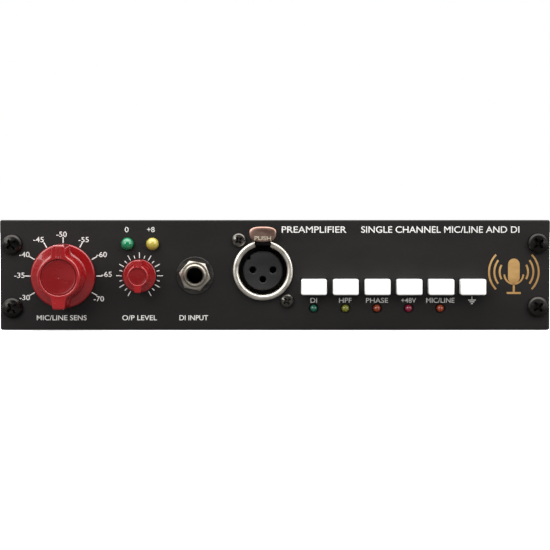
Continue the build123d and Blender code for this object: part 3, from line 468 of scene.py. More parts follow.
mic_nickel = turned_metal("mic_nickel", mic_seat)
line_nickel = turned_metal("line_nickel", line_seat)
output_nickel = turned_metal("output_nickel", output_seat)
jack_nickel = turned_metal("jack_nickel", jack_seat, (164, 157, 146), (198, 191, 179))
# The jack washer is steel coloured dark grey: a painted dark reflection of the room behind the
# camera.
washer_steel_dark_reflection = turned_metal(
    "washer_steel_dark_reflection", seat_of("di_jack_washer"), (70, 68, 66), (92, 90, 87), 0.34, 0.12
)
latch_copper = plated_metal("latch_copper", (164, 128, 116), (180, 153, 139), 0.3)
# The raised PUSH is a paler metal: a painted highlight, the light that its raised letters catch.
push_painted_highlight = plated_metal("push_painted_highlight", (230, 216, 188), (244, 234, 212), 0.4)
# The latch arms are painted near black: the shade under the overhanging thumb plate.
latch_painted_shade = plated_metal("latch_painted_shade", (20, 19, 19), (32, 30, 30), 0.5)
black_zinc = plated_metal("black_zinc", (46, 45, 44), (66, 64, 62), 0.22, grain_depth=0.04)
screw_steel = plated_metal("screw_steel", (100, 97, 92), (126, 123, 118), 0.14, grain_depth=0.02)
shaft_steel = plated_metal("shaft_steel", (150, 150, 152), (180, 180, 180), 0.26)
# The socket contacts are darkened to near black: painted shade, for they sit deep in the inserts'
# holes.
contact_painted_shade = plated_metal("contact_painted_shade", (26, 23, 18), (44, 38, 28), 0.5)
contact_gold = plated_metal("contact_gold", (196, 160, 88), (222, 190, 120), 0.22)
nut_brass = plated_metal("nut_brass", (170, 158, 120), (200, 190, 150), 0.3)
pot_can = plated_metal("pot_can", (150, 150, 150), (190, 190, 188), 0.36)
shield_can = plated_metal("shield_can", (120, 118, 114), (160, 158, 152), 0.34)
clamp_steel = plated_metal("clamp_steel", (150, 146, 124), (186, 180, 150), 0.3)
black_anodised = plated_metal("black_anodised", (26, 26, 28), (44, 44, 46), 0.42)
print("the microphone ring's lathe marks are centred on", (mic_seat.point / MM).round(1))

# %% [markdown]
# ## Plastics and rubber
# Moulded plastic is never quite even: the mould leaves a fine texture, and the thick places sink
# a little. One recipe with a grain bump and a slow colour drift covers the knobs, the buttons, the
# socket cores and the inlet. Rubber is the same with a rougher, paler bloom.

# %% Plastics


def moulded(name, dark, light, roughness, grain_scale=3000.0, depth=0.15, **values):
    """Moulded plastic: colour drifts between two chart colours, fine grain in the bump."""
    material, tree, shader, place = start_material(name, **values)
    smears = effect(tree, "smears", place, Scale=70.0)
    grain = effect(tree, "grain", place, Scale=grain_scale)
    shade = ramp(tree, smears, 0.0, 1.0, paint_rgb(*dark), paint_rgb(*light))
    tree.links.new(shade, shader.inputs["Base Color"])
    vary_roughness(tree, shader, smears, roughness, roughness + 0.1)
    bump(tree, shader, grain, depth, 0.00003)
    return material


knob_red = moulded(
    "knob_red",
    (142, 11, 16),
    (156, 16, 22),
    0.19,
    depth=0.02,
    Coat_Weight=1.0,
    Coat_Roughness=0.05,
    Specular_IOR_Level=0.35,
)
cap_red = moulded("cap_red", (120, 12, 16), (130, 17, 21), 0.24, depth=0.08)
button_white = moulded("button_white", (252, 252, 250), (255, 255, 254), 0.2, depth=0.05)
core_black = moulded("core_black", (24, 24, 25), (36, 36, 38), 0.42)
inlet_black = moulded("inlet_black", (22, 22, 23), (34, 34, 35), 0.4)
rocker_black = moulded("rocker_black", (18, 18, 19), (28, 28, 29), 0.22, depth=0.05)
foot_rubber = moulded("foot_rubber", (24, 24, 24), (44, 43, 42), 0.72, 1500.0, 0.5)
switch_blue = moulded("switch_blue", (40, 52, 64), (56, 70, 84), 0.45)
pillar_nylon = moulded("pillar_nylon", (214, 212, 200), (232, 230, 220), 0.4)
epoxy_black = moulded("epoxy_black", (22, 22, 24), (38, 38, 40), 0.55, 2000.0, 0.4)
sleeve_blue = moulded("sleeve_blue", (20, 34, 84), (34, 50, 110), 0.3)
wire_brown = moulded("wire_brown", (96, 52, 26), (116, 66, 36), 0.4)
legend_ink = moulded("legend_ink", (224, 223, 220), (240, 239, 236), 0.5, 5000.0)
emblem_gold = moulded("emblem_gold", (178, 136, 82), (208, 168, 108), 0.42, 5000.0, Metallic=0.35)
print("finishes so far:", len(bpy.data.materials))

# %% [markdown]
# ## Lamps that aren't lit
# An unlit lamp is a block of tinted resin. Light goes in at the dome, scatters off the metal cup
# inside and comes back out coloured, so the resin is part clear and part cloudy: a tinted shader
# with some transmission and a rough inside is close to it, with a clear, glossy skin on top.

# %% Lamp resins


def lamp_resin(name, deep, pale):
    """Tinted resin: chart colour deepens with slow noise, part of the light passes through."""
    material, tree, shader, place = start_material(
        name,
        Roughness=0.08,
        Transmission_Weight=0.12,
        IOR=1.5,
        Coat_Weight=1.0,
        Coat_Roughness=0.03,
    )
    cloud = effect(tree, "smears", place, Scale=24.0)
    shade = ramp(tree, cloud, 0.0, 1.0, paint_rgb(*deep), paint_rgb(*pale))
    tree.links.new(shade, shader.inputs["Base Color"])
    return material


RESINS = {
    "level_led_green": lamp_resin("resin_green", (0, 126, 80), (8, 146, 96)),
    "level_led_yellow": lamp_resin("resin_yellow", (190, 172, 62), (208, 192, 92)),
    "status_led_di": lamp_resin("resin_teal", (8, 84, 68), (24, 112, 90)),
    "status_led_filter": lamp_resin("resin_lime", (122, 124, 26), (156, 158, 60)),
    "status_led_phase": lamp_resin("resin_amber", (146, 48, 20), (180, 78, 42)),
    "status_led_phantom": lamp_resin("resin_red", (134, 12, 46), (168, 34, 72)),
    "status_led_line": lamp_resin("resin_orange", (152, 52, 22), (186, 82, 48)),
}
print("resins:", len(RESINS))

# %% [markdown]
# ## The circuit board
# Seen through the cover's slots, a board is a green varnish over copper: the tracks show as
# slightly lighter lines, and the pads as dull silver spots. A brick pattern turned on its side
# gives straight tracks, and small round cells give the pads.

# %% Board and winding finishes


def board_varnish():
    """Green varnish; brick joints lighten it for tracks, small round cells silver it for pads."""
    material, tree, shader, place = start_material("board_varnish", Roughness=0.35)
    tracks = add_node(
        tree,
        "ShaderNodeTexBrick",
        {"Vector": place, "Scale": 190.0, "Mortar Size": 0.03, "Color1": (0, 0, 0, 1)},
        offset=0.37,
        squash=0.6,
    )
    tracks.inputs["Color2"].default_value = (0, 0, 0, 1)
    tracks.inputs["Mortar"].default_value = (1, 1, 1, 1)
    pads = add_node(tree, "ShaderNodeTexVoronoi", {"Vector": place, "Scale": 300.0})
    spot = add_node(
        tree, "ShaderNodeMath", {0: pads.outputs["Distance"], 1: 0.16}, operation="LESS_THAN"
    )
    green = ramp(
        tree, tracks.outputs["Color"], 0.0, 1.0, paint_rgb(14, 70, 38), paint_rgb(40, 112, 62)
    )
    mix = add_node(tree, "ShaderNodeMix", {"Factor": spot.outputs[0], "A": green}, data_type="RGBA")
    mix.inputs["B"].default_value = paint_rgb(172, 172, 168)
    tree.links.new(mix.outputs["Result"], shader.inputs["Base Color"])
    bump(tree, shader, tracks.outputs["Color"], 0.3, 0.00004)
    return material


def winding_tape():
    """Yellow wrapping tape: a wave around the ring's own middle shades each turn of tape."""
    middle = [(a + b) / 2 for a, b in zip(*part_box("mains_transformer"))]
    material, tree, shader, place = start_material("winding_tape", Roughness=0.38)
    moved = add_node(
        tree, "ShaderNodeMapping", {"Vector": place, "Location": (-middle[0], -middle[1], 0.0)}
    )
    around = add_node(
        tree, "ShaderNodeTexGradient", {"Vector": moved.outputs["Vector"]}, gradient_type="RADIAL"
    )
    turns = add_node(
        tree, "ShaderNodeMath", {0: around.outputs["Fac"], 1: 46.0}, operation="MULTIPLY"
    )
    edge = add_node(tree, "ShaderNodeMath", {0: turns.outputs[0]}, operation="FRACT")
    colour = ramp(tree, edge.outputs[0], 0.0, 1.0, paint_rgb(168, 126, 34), paint_rgb(216, 176, 70))
    tree.links.new(colour, shader.inputs["Base Color"])
    bump(tree, shader, effect(tree, "grain", place, Scale=1800.0), 0.2, 0.00004)
    return material


board_green = board_varnish()
tape_yellow = winding_tape()
print("inside finishes:", board_green.name, tape_yellow.name)

# %% [markdown]
# ## Which piece has which finish
# One list says it all: each finish, and the pieces of the frame that are made of it. A lamp has
# the resin of its own colour, and the six buttons share one white.

# %% Give the finishes
FINISHES = {
    panel_coat: ["front_panel"],
    case_coat: ["base_tray", "top_cover", "rear_panel"],
    black_zinc: ["front_panel_screws", "case_screws"],
    foot_rubber: ["rubber_feet"],
    mic_nickel: ["mic_socket_shell"],
    line_nickel: ["line_socket_shell"],
    output_nickel: ["output_socket_shell"],
    jack_nickel: ["di_jack_bush", "di_jack_nut"],
    washer_steel_dark_reflection: ["di_jack_washer"],
    latch_painted_shade: ["mic_latch", "line_latch"],
    screw_steel: ["socket_screws"],
    contact_painted_shade: ["socket_contacts"],
    contact_gold: ["output_socket_pins", "di_jack_springs", "inlet_pins"],
    core_black: [
        "mic_socket_insert",
        "line_socket_insert",
        "output_socket_insert",
        "di_jack_housing",
    ],
    button_white: [
        name + "_button" for name in ("di", "filter", "phase", "phantom", "line", "ground")
    ],
    switch_blue: ["push_switch_bodies", "gain_switch"],
    knob_red: ["gain_knob", "level_knob"],
    cap_red: ["gain_knob_cap", "level_knob_cap"],
    shaft_steel: ["gain_shaft", "level_shaft"],
    pot_can: ["level_pot"],
    nut_brass: ["control_nuts"],
    board_green: ["main_board"],
    pillar_nylon: ["board_pillars"],
    shield_can: ["input_transformer"],
    epoxy_black: ["power_transistors", "output_transformer"],
    tape_yellow: ["mains_transformer"],
    clamp_steel: ["transformer_clamp"],
    black_anodised: ["heatsink"],
    sleeve_blue: ["electrolytic_capacitors"],
    inlet_black: ["mains_inlet", "fuse_drawer"],
    rocker_black: ["power_rocker"],
    wire_brown: ["mains_wires"],
}
for lamp_node, resin in RESINS.items():
    FINISHES[resin] = [lamp_node]


for material, nodes in FINISHES.items():
    for node in nodes:
        for slot in frame["nodes"][node].material_slots:
            slot.material = material
unfinished = set(frame["nodes"]) - {node for nodes in FINISHES.values() for node in nodes}
print("frame pieces without a finish:", sorted(unfinished))

# %% [markdown]
# ## From arrays to meshes
# New shapes are surfaces: whole arrays of points, worked out with numpy and joined to faces. One
# helper closes and cleans a mesh and turns its faces outwards, and puts it on the body that it
# moves with. Curved shapes are also shaded smooth, up to a sharp angle.

# %% Mesh helpers
SHARP = math.radians(32)
MERGE = 2e-7
SLOTS = {part["node"]: part["material_slot"] for part in frame["record"]["subparts"]}


def make_piece(name, points, faces, material, body, slot, smooth=True):
    """Points in metres and faces to a clean, closed piece that rides on a body."""
    mesh = bpy.data.meshes.new(name)
    mesh.from_pydata(np.asarray(points).reshape(-1, 3).tolist(), [], list(faces))
    work = bmesh.new()
    work.from_mesh(mesh)
    bmesh.ops.remove_doubles(work, verts=work.verts, dist=MERGE)
    bmesh.ops.dissolve_degenerate(work, dist=MERGE, edges=work.edges)
    bmesh.ops.recalc_face_normals(work, faces=work.faces)
    work.to_mesh(mesh)
    work.free()
    if smooth:
        mesh.shade_smooth()
        mesh.set_sharp_from_angle(angle=SHARP)
    mesh.materials.append(material)
    piece = bpy.data.objects.new(name, mesh)
    bpy.context.scene.collection.objects.link(piece)
    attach(piece, body)
    print(name, "has", len(mesh.polygons), "faces")
    return piece


def grid_faces(rows, columns, wrap_columns=True, wrap_rows=False):
    """The quads that join each grid point to its neighbours; a wrapped side joins its ends."""
    down = np.arange(rows if wrap_rows else rows - 1)[:, None]
    along = np.arange(columns if wrap_columns else columns - 1)[None, :]
    below = (down + 1) % rows
    beside = (along + 1) % columns
    corners = (
        down * columns + along,
        down * columns + beside,
        below * columns + beside,
        below * columns + along,
    )
    full = [np.broadcast_to(corner, (down.size, along.size)) for corner in corners]
    return np.stack(full, -1).reshape(-1, 4).tolist()


print("frame pieces with a named slot:", len(SLOTS))

# %% [markdown]
# ## Turned shapes
# A turned piece is a profile of (radius, height) points swept about its seat's axis. Real corners
# are never quite sharp, so the profile's corners are rounded first.

# %% Turning helpers


def soften(profile, radius, steps=5):
    """Rounds each inner corner of a profile with a short curve from one side to the other.

    The curve's ends lie at most radius, or 45% of the side, from the corner, and its points are
    a weighted mean of those ends and the corner: (1-t)^2, 2t(1-t) and t^2.
    """
    profile = np.array(profile, float)
    corner = profile[1:-1]
    before = profile[:-2] - corner
    after = profile[2:] - corner
    reach_before = np.linalg.norm(before, axis=1, keepdims=True)
    reach_after = np.linalg.norm(after, axis=1, keepdims=True)
    start = corner + before * np.minimum(radius / reach_before, 0.45)
    end = corner + after * np.minimum(radius / reach_after, 0.45)
    t = np.linspace(0, 1, steps)[None, :, None]
    curve = (1 - t) ** 2 * start[:, None] + 2 * t * (1 - t) * corner[:, None] + t**2 * end[:, None]
    return np.concatenate([profile[:1], curve.reshape(-1, 2), profile[-1:]])


def turned_points(seat, profile, columns):
    """Turns (radius, height) points about a seat's axis: each point becomes a ring."""
    angle = np.linspace(0, 2 * math.pi, columns, endpoint=False)
    radius = profile[:, 0][:, None]
    height = np.broadcast_to(profile[:, 1][:, None], (len(profile), columns))
    return seat.place(radius * np.cos(angle), radius * np.sin(angle), height)


def turned_piece(name, seat, profile, columns, *finish):
    """A turned profile as a finished piece; finish is its material, body and slot, and the slot is
    not used.
    """
    points = turned_points(seat, profile, columns)
    return make_piece(name, points, grid_faces(len(profile), columns), *finish)


print("a square corner softens to", len(soften([(0, 0), (1, 0), (1, 1)], 0.1)), "points")

# %% [markdown]
# ## Pointer knobs
# Each red knob is a disc with a shallow cone, a round hub on it and two opposed wings that taper
# into the hub with a hollow sweep. Drawing that outline with arcs is fiddly; in polar form it is
# one line. The hub is a circle, the wings are a long rounded bar, and a soft maximum of their
# radii joins them with the hollow sweep. Rows of the grid then climb from the skirt up the grip.

# %% Knob outline


def knob_outline(angle, hub, wing, half_width, sweep):
    """Soft maximum of a circle of radius hub and a bar with rounded ends.

    The bar's radius is a superellipse: (|cos|/wing)^p + (|sin|/half_width)^p to the power -1/p.
    The soft maximum is sweep * ln(e^(hub/sweep) + e^(bar/sweep)).
    """
    roundness = 9.0
    along = np.abs(np.sin(angle)) / wing
    sideways = np.abs(np.cos(angle)) / half_width
    bar = (along**roundness + sideways**roundness) ** (-1 / roundness)
    return np.logaddexp(hub / sweep, bar / sweep) * sweep


print("outline at a tip:", round(float(knob_outline(math.pi / 2, 9.0, 13.1, 2.8, 1.3)), 2), "mm")

# %% [markdown]
# ## Sizes of the two knobs
# All sizes are millimetres, and heights are from the panel. From the outside in: size is the
# skirt's radius, low its underside, cone_low and cone_high the heights of its rim and of the foot
# of the grip, and bevel its rounded edge. hub, wing, half_width and sweep shape the grip, reach
# is its longest radius, draft how much it narrows with height and foot the flare at its bottom.
# top is the grip's top, edge the rounding there, and recess and sink the dish for the disc. bore,
# room and room_top hollow the underside, and groove and groove_gap are the pointer's lines.

# %% Knob sizes
GAIN_LOOK = {
    "size": 12.7,
    "low": 0.6,
    "cone_low": 1.7,
    "cone_high": 2.15,
    "top": 16.2,
    "hub": 9.0,
    "wing": 13.1,
    "reach": 12.6,
    "bevel": 0.45,
    "half_width": 2.8,
    "sweep": 1.3,
    "recess": 6.9,
    "sink": 0.9,
    "edge": 0.75,
    "foot": 0.35,
    "draft": 0.045,
    "bore": 3.0,
    "room": 9.0,
    "room_top": 2.9,
    "groove": 0.13,
    "groove_gap": 0.8,
    "columns": 720,
}
LEVEL_LOOK = {
    "size": 6.55,
    "low": 0.6,
    "cone_low": 1.15,
    "cone_high": 1.35,
    "top": 10.2,
    "hub": 4.5,
    "wing": 6.75,
    "reach": 6.5,
    "bevel": 0.25,
    "half_width": 1.5,
    "sweep": 0.65,
    "recess": 3.25,
    "sink": 0.5,
    "edge": 0.45,
    "foot": 0.2,
    "draft": 0.04,
    "bore": 2.4,
    "room": 5.5,
    "room_top": 1.5,
    "groove": 0.08,
    "groove_gap": 0.42,
    "columns": 480,
}
print("knob diameters:", 2 * GAIN_LOOK["size"], "and", 2 * LEVEL_LOOK["size"], "mm")

# %% [markdown]
# ## The knob's surface
# The whole knob is one closed grid: each row is a ring of radii and heights, from the bore under
# the knob, out along its underside, round the skirt, up the grip and down into the dish.

# %% Knob surface


def pointer_knob(name, seat, look, material, body, slot):
    """A pointer knob as one closed surface of rows: underside, skirt, grip, rim and recess.

    A grip row has the outline's radius less the draft, and never more than the tips' reach. A
    skirt point's height falls in a straight line with its radius, the grip's top edge is a
    quarter circle, and three shallow grooves are pressed into the pointer's top.
    """
    columns = look["columns"]
    angle = np.linspace(0, 2 * math.pi, columns, endpoint=False)
    outline = knob_outline(angle, look["hub"], look["wing"], look["half_width"], look["sweep"])
    size, low, cone_low, cone_high, top = (
        look[key] for key in ("size", "low", "cone_low", "cone_high", "top")
    )
    recess, sink, edge, bevel = look["recess"], look["sink"], look["edge"], look["bevel"]
    circle = np.ones_like(angle)
    radii, heights = [], []

    def ring(radius, height):
        radii.append(radius * circle)
        heights.append(height * circle)

    bore, room, room_top = look["bore"], look["room"], look["room_top"]
    under = [(0.0, top - 3 * sink), (bore, top - 3 * sink), (bore, room_top)]
    under += [(room, room_top), (room, low), (size - 0.25, low)]
    skirt = [(size, low + 0.2), (size, cone_low - bevel), (size - bevel, cone_low)]
    skirt.append((size - bevel - 0.3, cone_low + 0.05))
    for radius, height in soften(under + skirt, 0.16, 4):
        ring(radius, height)

    def skirt_height(radius):
        share = np.clip((size - bevel - radius) / (size - bevel - look["hub"]), 0, 1)
        return cone_low + (cone_high - cone_low) * share

    def grip(height):
        return np.minimum(outline - look["draft"] * (height - cone_low), look["reach"])

    base_height = skirt_height(np.minimum(outline, look["reach"]))
    foot = np.minimum(outline + look["foot"], size - bevel - 0.35)
    for share in (0.5, 0.85, 1.0):
        radius = (size - bevel - 0.33) * (1 - share) + foot * share
        radii.append(radius)
        heights.append(skirt_height(radius))
    straight_top = top - edge
    for share in np.linspace(0, 1, 7):
        height = (base_height + look["foot"] * 0.9) * (1 - share) + straight_top * share
        radii.append(grip(height))
        heights.append(height)
    inner = grip(straight_top)
    for turn in np.linspace(0, math.pi / 2, 9)[1:]:
        radii.append(inner - edge * (1 - math.cos(turn)))
        heights.append((straight_top + edge * math.sin(turn)) * circle)
    rim = inner - edge
    lip = recess + 0.7 * edge
    for share in np.linspace(0, 1, 9)[1:]:
        radii.append(rim * (1 - share) + lip * share)
        heights.append(top * circle)
    for turn in np.linspace(0, math.pi / 2, 6)[1:]:
        ring(lip - (lip - recess) * math.sin(turn), top - sink * 0.8 * (1 - math.cos(turn)))
    ring(recess - 0.05, top - sink)
    ring(0.0, top - sink)
    radius, height = np.array(radii), np.array(heights)
    across, up = radius * np.cos(angle), radius * np.sin(angle)
    on_top = (height > top - 0.03) & (up > recess + 0.9 * edge)
    for middle in (-1, 0, 1):
        cut = np.exp(-(((across - middle * look["groove_gap"]) / look["groove"]) ** 2))
        height = height - on_top * cut * look["groove"] * 1.4
    points = seat.place(across, up, height)
    return make_piece(name, points, grid_faces(len(radii), columns), material, body, slot)


print("helper: pointer_knob")

# %% [markdown]
# ## The knobs and their discs
# Each knob replaces the plain one in the frame, and a darker disc fills the dish in its hub.

# %% The two knobs
gain_grip = pointer_knob("gain_grip", gain_seat, GAIN_LOOK, knob_red, "gain_control", "knob_red")
level_grip = pointer_knob(
    "level_grip", level_seat, LEVEL_LOOK, knob_red, "level_control", "knob_red"
)
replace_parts(gain_grip, "gain_knob")
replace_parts(level_grip, "level_knob")


def knob_disc(name, seat, look, body):
    """The darker disc in a knob's hub: flat, with a rolled rim and a small centre dimple."""
    floor = look["top"] - look["sink"] + 0.01
    rise = look["sink"] * 0.45
    radius = look["recess"] - 0.06
    profile = soften(
        [
            (0.0, floor),
            (radius, floor),
            (radius, floor + rise),
            (radius * 0.93, floor + rise),
            (radius * 0.90, floor + rise * 0.8),
            (radius * 0.05, floor + rise * 0.8),
            (radius * 0.03, floor + rise * 0.3),
            (0.0, floor + rise * 0.3),
        ],
        0.12,
    )
    return turned_piece(name, seat, profile, 160, cap_red, body, "knob_cap_red")


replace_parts(knob_disc("gain_hub_disc", gain_seat, GAIN_LOOK, "gain_control"), "gain_knob_cap")
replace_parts(knob_disc("level_hub_disc", level_seat, LEVEL_LOOK, "level_control"), "level_knob_cap")

# %% [markdown]
# ## Lamps
# A lamp is resin cast in a thimble mould: a rim, a barrel and a half-sphere nose, around a metal
# cup that holds the chip. The cup matters, because through the dome it is the bright spot at the
# lamp's heart, so each lamp gets one.

# %% Lamps
LEVEL_DOME = 0.9
STATUS_DOME = -0.5


def lamp_lens(node, body_top):
    """A turned resin lens: rim, barrel up to body_top, then a quarter circle to the axis."""
    low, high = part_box(node)
    radius = (high.x - low.x) / 2 / MM - 0.4
    nose = np.linspace(0, math.pi / 2, 14)
    dome = np.stack([radius * np.cos(nose), body_top + radius * np.sin(nose)], 1)
    brim = radius + 0.4
    rim = [(0.0, -5.0), (brim, -5.0), (brim, -3.05), (radius, -3.05), (radius, body_top)]
    profile = np.concatenate([soften(rim, 0.15), dome[1:]])
    seat = seat_of(node)
    lens = turned_piece(node + "_lens", seat, profile, 72, RESINS[node], "chassis", SLOTS[node])
    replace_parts(lens, node)
    cup = soften(
        [
            (0.0, body_top - 2.6),
            (radius * 0.34, body_top - 2.6),
            (radius * 0.42, body_top - 0.7),
            (radius * 0.36, body_top - 0.7),
            (radius * 0.16, body_top - 1.4),
            (0.0, body_top - 1.4),
        ],
        0.05,
    )
    turned_piece(node + "_cup", seat, cup, 40, contact_gold, "chassis", "contact_metal")


for lamp_node in RESINS:
    lamp_lens(lamp_node, LEVEL_DOME if lamp_node.startswith("level") else STATUS_DOME)

# %% [markdown]
# ## Printed legends
# Legends on a panel are screen-printed: flat ink, a few hundredths of a millimetre thick. Each
# word is a text curve made into a mesh, measured, and stretched to its height and width. Then
# all the words go into one mesh, because they're one pass of ink.

# %% Word helper
INK_DEPTH = 0.03
INK_SUNK = 0.01


def word_mesh(words, weight=0.005):
    """A word as flat letters: points (n, 3) and faces, one unit tall text with a little depth."""
    curve = bpy.data.curves.new("word", "FONT")
    curve.body = words
    curve.offset = weight
    curve.extrude = 0.5
    curve.resolution_u = 5
    holder = bpy.data.objects.new("word", curve)
    bpy.context.scene.collection.objects.link(holder)
    bpy.context.view_layer.update()
    mesh = bpy.data.meshes.new_from_object(holder)
    points = np.empty(len(mesh.vertices) * 3, np.float32)
    mesh.vertices.foreach_get("co", points)
    faces = [tuple(face.vertices) for face in mesh.polygons]
    bpy.data.objects.remove(holder)
    bpy.data.meshes.remove(mesh)
    return points.reshape(-1, 3).astype(float), faces


CAP_HEIGHT = word_mesh("H")[0][:, 1].max()


def printed(seat, words, u, v, cap, width, depth=INK_DEPTH, base=0.0, weight=0.005):
    """A word centred at (u, v) on a seat with capitals cap mm tall, stretched to a width."""
    points, faces = word_mesh(words, weight)
    low, high = points.min(0), points.max(0)
    grow = cap / CAP_HEIGHT
    squeeze = width / (high[0] - low[0])
    across = (points[:, 0] - (low[0] + high[0]) / 2) * squeeze + u
    up = (points[:, 1] - CAP_HEIGHT / 2) * grow + v
    out = np.where(points[:, 2] > 0, base + depth, base - INK_SUNK)
    return seat.place(across, up, out), faces


print("capitals of one unit of text are", round(float(CAP_HEIGHT), 3), "tall")

# %% [markdown]
# ## Lines and filled shapes
# Ticks, signs and the emblem are ink too: slim boxes for straight lines and thin prisms for any
# other outline.

# %% Line and shape helpers


def bar(seat, start, end, thick):
    """A straight inked line from start to end as a slim box: eight corners, six faces."""
    start, end = np.array(start, float), np.array(end, float)
    along = (end - start) / np.linalg.norm(end - start)
    side = np.array([-along[1], along[0]]) * thick / 2
    ring = np.array([start + side, start - side, end - side, end + side])
    flat = np.concatenate([ring, ring])
    out = np.repeat([-INK_SUNK, INK_DEPTH], 4)
    faces = [(0, 1, 2, 3), (7, 6, 5, 4), (0, 4, 5, 1), (1, 5, 6, 2), (2, 6, 7, 3), (3, 7, 4, 0)]
    return seat.place(flat[:, 0], flat[:, 1], out), faces


def polygon(seat, outline):
    """A filled inked shape: its outline twice, at the ink's bottom and top, and its sides."""
    outline = np.array(outline, float)
    count = len(outline)
    flat = np.concatenate([outline, outline])
    out = np.repeat([-INK_SUNK, INK_DEPTH], count)
    step = np.arange(count)
    after = (step + 1) % count
    sides = np.stack([step, after, after + count, step + count], 1).tolist()
    faces = [step[::-1].tolist(), (step + count).tolist()] + sides
    return seat.place(flat[:, 0], flat[:, 1], out), faces


def join_prints(name, prints, material, body, slot):
    """Joins several small meshes, each points and faces, into one flat-shaded piece."""
    points, faces, start = [], [], 0
    for some_points, some_faces in prints:
        points.append(some_points)
        faces += [tuple(int(corner) + start for corner in face) for face in some_faces]
        start += len(some_points)
    return make_piece(name, np.concatenate(points), faces, material, body, slot, smooth=False)


print("helpers: bar, polygon, join_prints")

# %% [markdown]
# ## The two scales
# The gain scale has nine long ticks, one for each 5 dB step, with its number outside it. The
# level scale has one tick every 15 degrees, and every second one is longer.

# %% Scales
TICK = 0.42


def spoke(seat, degrees, inner, outer, thick):
    """A tick that runs outwards at an angle clockwise from the top."""
    turn = math.radians(degrees)
    way = np.array([math.sin(turn), math.cos(turn)])
    return bar(seat, way * inner, way * outer, thick)


gain_prints = [spoke(gain_seat, step * 30, 13.0, 15.4, TICK) for step in range(-4, 5)]
GAIN_NUMBERS = {
    "-30": (-15.3, -8.5),
    "-35": (-17.3, 0.3),
    "-40": (-15.3, 8.5),
    "-45": (-9.7, 14.4),
    "-50": (-0.6, 16.5),
    "-55": (8.1, 14.4),
    "-60": (15.2, 8.5),
    "-65": (17.1, 0.7),
    "-70": (14.0, -9.0),
}
for words, (u, v) in GAIN_NUMBERS.items():
    gain_prints.append(printed(gain_seat, words, u, v, 2.0, 4.1))
join_prints("gain_scale", gain_prints, legend_ink, "chassis", "panel_paint")

level_prints = []
for step in range(-10, 11):
    outer = 9.2 if step % 2 == 0 else 8.2
    level_prints.append(spoke(level_seat, step * 15, 7.0, outer, TICK * 0.8))
join_prints("level_scale", level_prints, legend_ink, "chassis", "panel_paint")

# %% [markdown]
# ## The words on the front
# The words name the controls in plain terms, in three rows: the titles at the top, the buttons'
# names under them, and the knobs' and the jack's names along the bottom edge.

# %% Front words
front = front_seat(0.0, CENTRE_Z)
TITLE_V = 17.95
NAME_V = -16.9
BUTTON_V = -10.0


def on_front(node):
    """A node's middle across the panel, in millimetres from the panel's middle."""
    low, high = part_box(node)
    return (low.x + high.x) / 2 / MM


gain_u, level_u, jack_u = map(on_front, ("gain_knob", "level_knob", "di_jack_bush"))
front_words = [
    printed(front, "MIC/LINE SENS", gain_u - 0.7, NAME_V, 1.95, 19.7),
    printed(front, "O/P LEVEL", level_u, NAME_V, 1.95, 13.7),
    printed(front, "DI INPUT", jack_u - 0.5, NAME_V, 1.95, 11.3),
    printed(front, "0", on_front("level_led_green") - 0.3, TITLE_V, 2.0, 1.5),
    printed(front, "+8", on_front("level_led_yellow") - 0.7, TITLE_V, 2.0, 3.0),
    printed(front, "PREAMPLIFIER", 15.4, TITLE_V, 2.5, 25.5, weight=0.007),
    printed(front, "SINGLE CHANNEL MIC/LINE AND DI", 65.2, TITLE_V, 2.5, 62.4, weight=0.007),
]
BUTTON_WORDS = {
    "di_button": ("DI", 2.6),
    "filter_button": ("HPF", 5.0),
    "phase_button": ("PHASE", 8.7),
    "phantom_button": ("+48V", 5.9),
    "line_button": ("MIC/LINE", 11.2),
}
for node, (words, width) in BUTTON_WORDS.items():
    front_words.append(printed(front, words, on_front(node), BUTTON_V, 1.9, width))
print("words on the front:", len(front_words))

# %% [markdown]
# ## Earth sign and emblem
# The last button has the usual earth sign: a stem and three bars that shorten downwards. At the
# right of a panel a maker puts its badge. This one is a plain drawing of a studio microphone
# between sound waves: a capsule, a cradle, a stem and a foot, with arcs on both sides.

# %% Signs
earth_u = on_front("ground_button")
front_words += [
    bar(front, (earth_u, BUTTON_V + 1.5), (earth_u, BUTTON_V + 0.1), 0.35),
    bar(front, (earth_u - 1.5, BUTTON_V + 0.1), (earth_u + 1.5, BUTTON_V + 0.1), 0.4),
    bar(front, (earth_u - 0.95, BUTTON_V - 0.6), (earth_u + 0.95, BUTTON_V - 0.6), 0.4),
    bar(front, (earth_u - 0.4, BUTTON_V - 1.3), (earth_u + 0.4, BUTTON_V - 1.3), 0.4),
]
join_prints("front_words", front_words, legend_ink, "chassis", "panel_paint")


def arc_band(seat, centre, radius, thick, start, end, count=24):
    """A curved stripe: the outer arc one way and the inner arc back."""
    angle = np.radians(np.linspace(start, end, count))
    way = np.stack([np.cos(angle), np.sin(angle)], 1)
    outer = centre + way * (radius + thick / 2)
    inner = centre + way[::-1] * (radius - thick / 2)
    return polygon(seat, np.concatenate([outer, inner]))


def capsule(seat, centre, half_width, half_height, count=18):
    """A pill shape: two half circles joined by straight sides."""
    angle = np.linspace(0, math.pi, count)
    lift = half_height - half_width
    cap = np.stack([half_width * np.cos(angle), half_width * np.sin(angle) + lift], 1)
    return polygon(seat, np.concatenate([cap, -cap]) + centre)


EMBLEM = np.array([94.3, -1.0])
emblem = [capsule(front, EMBLEM + (0, 2.6), 2.3, 4.9)]
emblem.append(arc_band(front, EMBLEM + (0, 1.2), 3.7, 0.7, 180, 360))
emblem.append(bar(front, EMBLEM + (0, -2.6), EMBLEM + (0, -5.8), 0.8))
emblem.append(bar(front, EMBLEM + (-2.8, -6.1), EMBLEM + (2.8, -6.1), 0.8))
for wave, radius in enumerate((5.6, 7.7, 9.8)):
    spread = 30 + 7 * wave
    emblem.append(arc_band(front, EMBLEM + (0, 2.2), radius, 0.75, -spread, spread))
    emblem.append(arc_band(front, EMBLEM + (0, 2.2), radius, 0.75, 180 - spread, 180 + spread))
join_prints("emblem", emblem, emblem_gold, "chassis", "panel_paint")
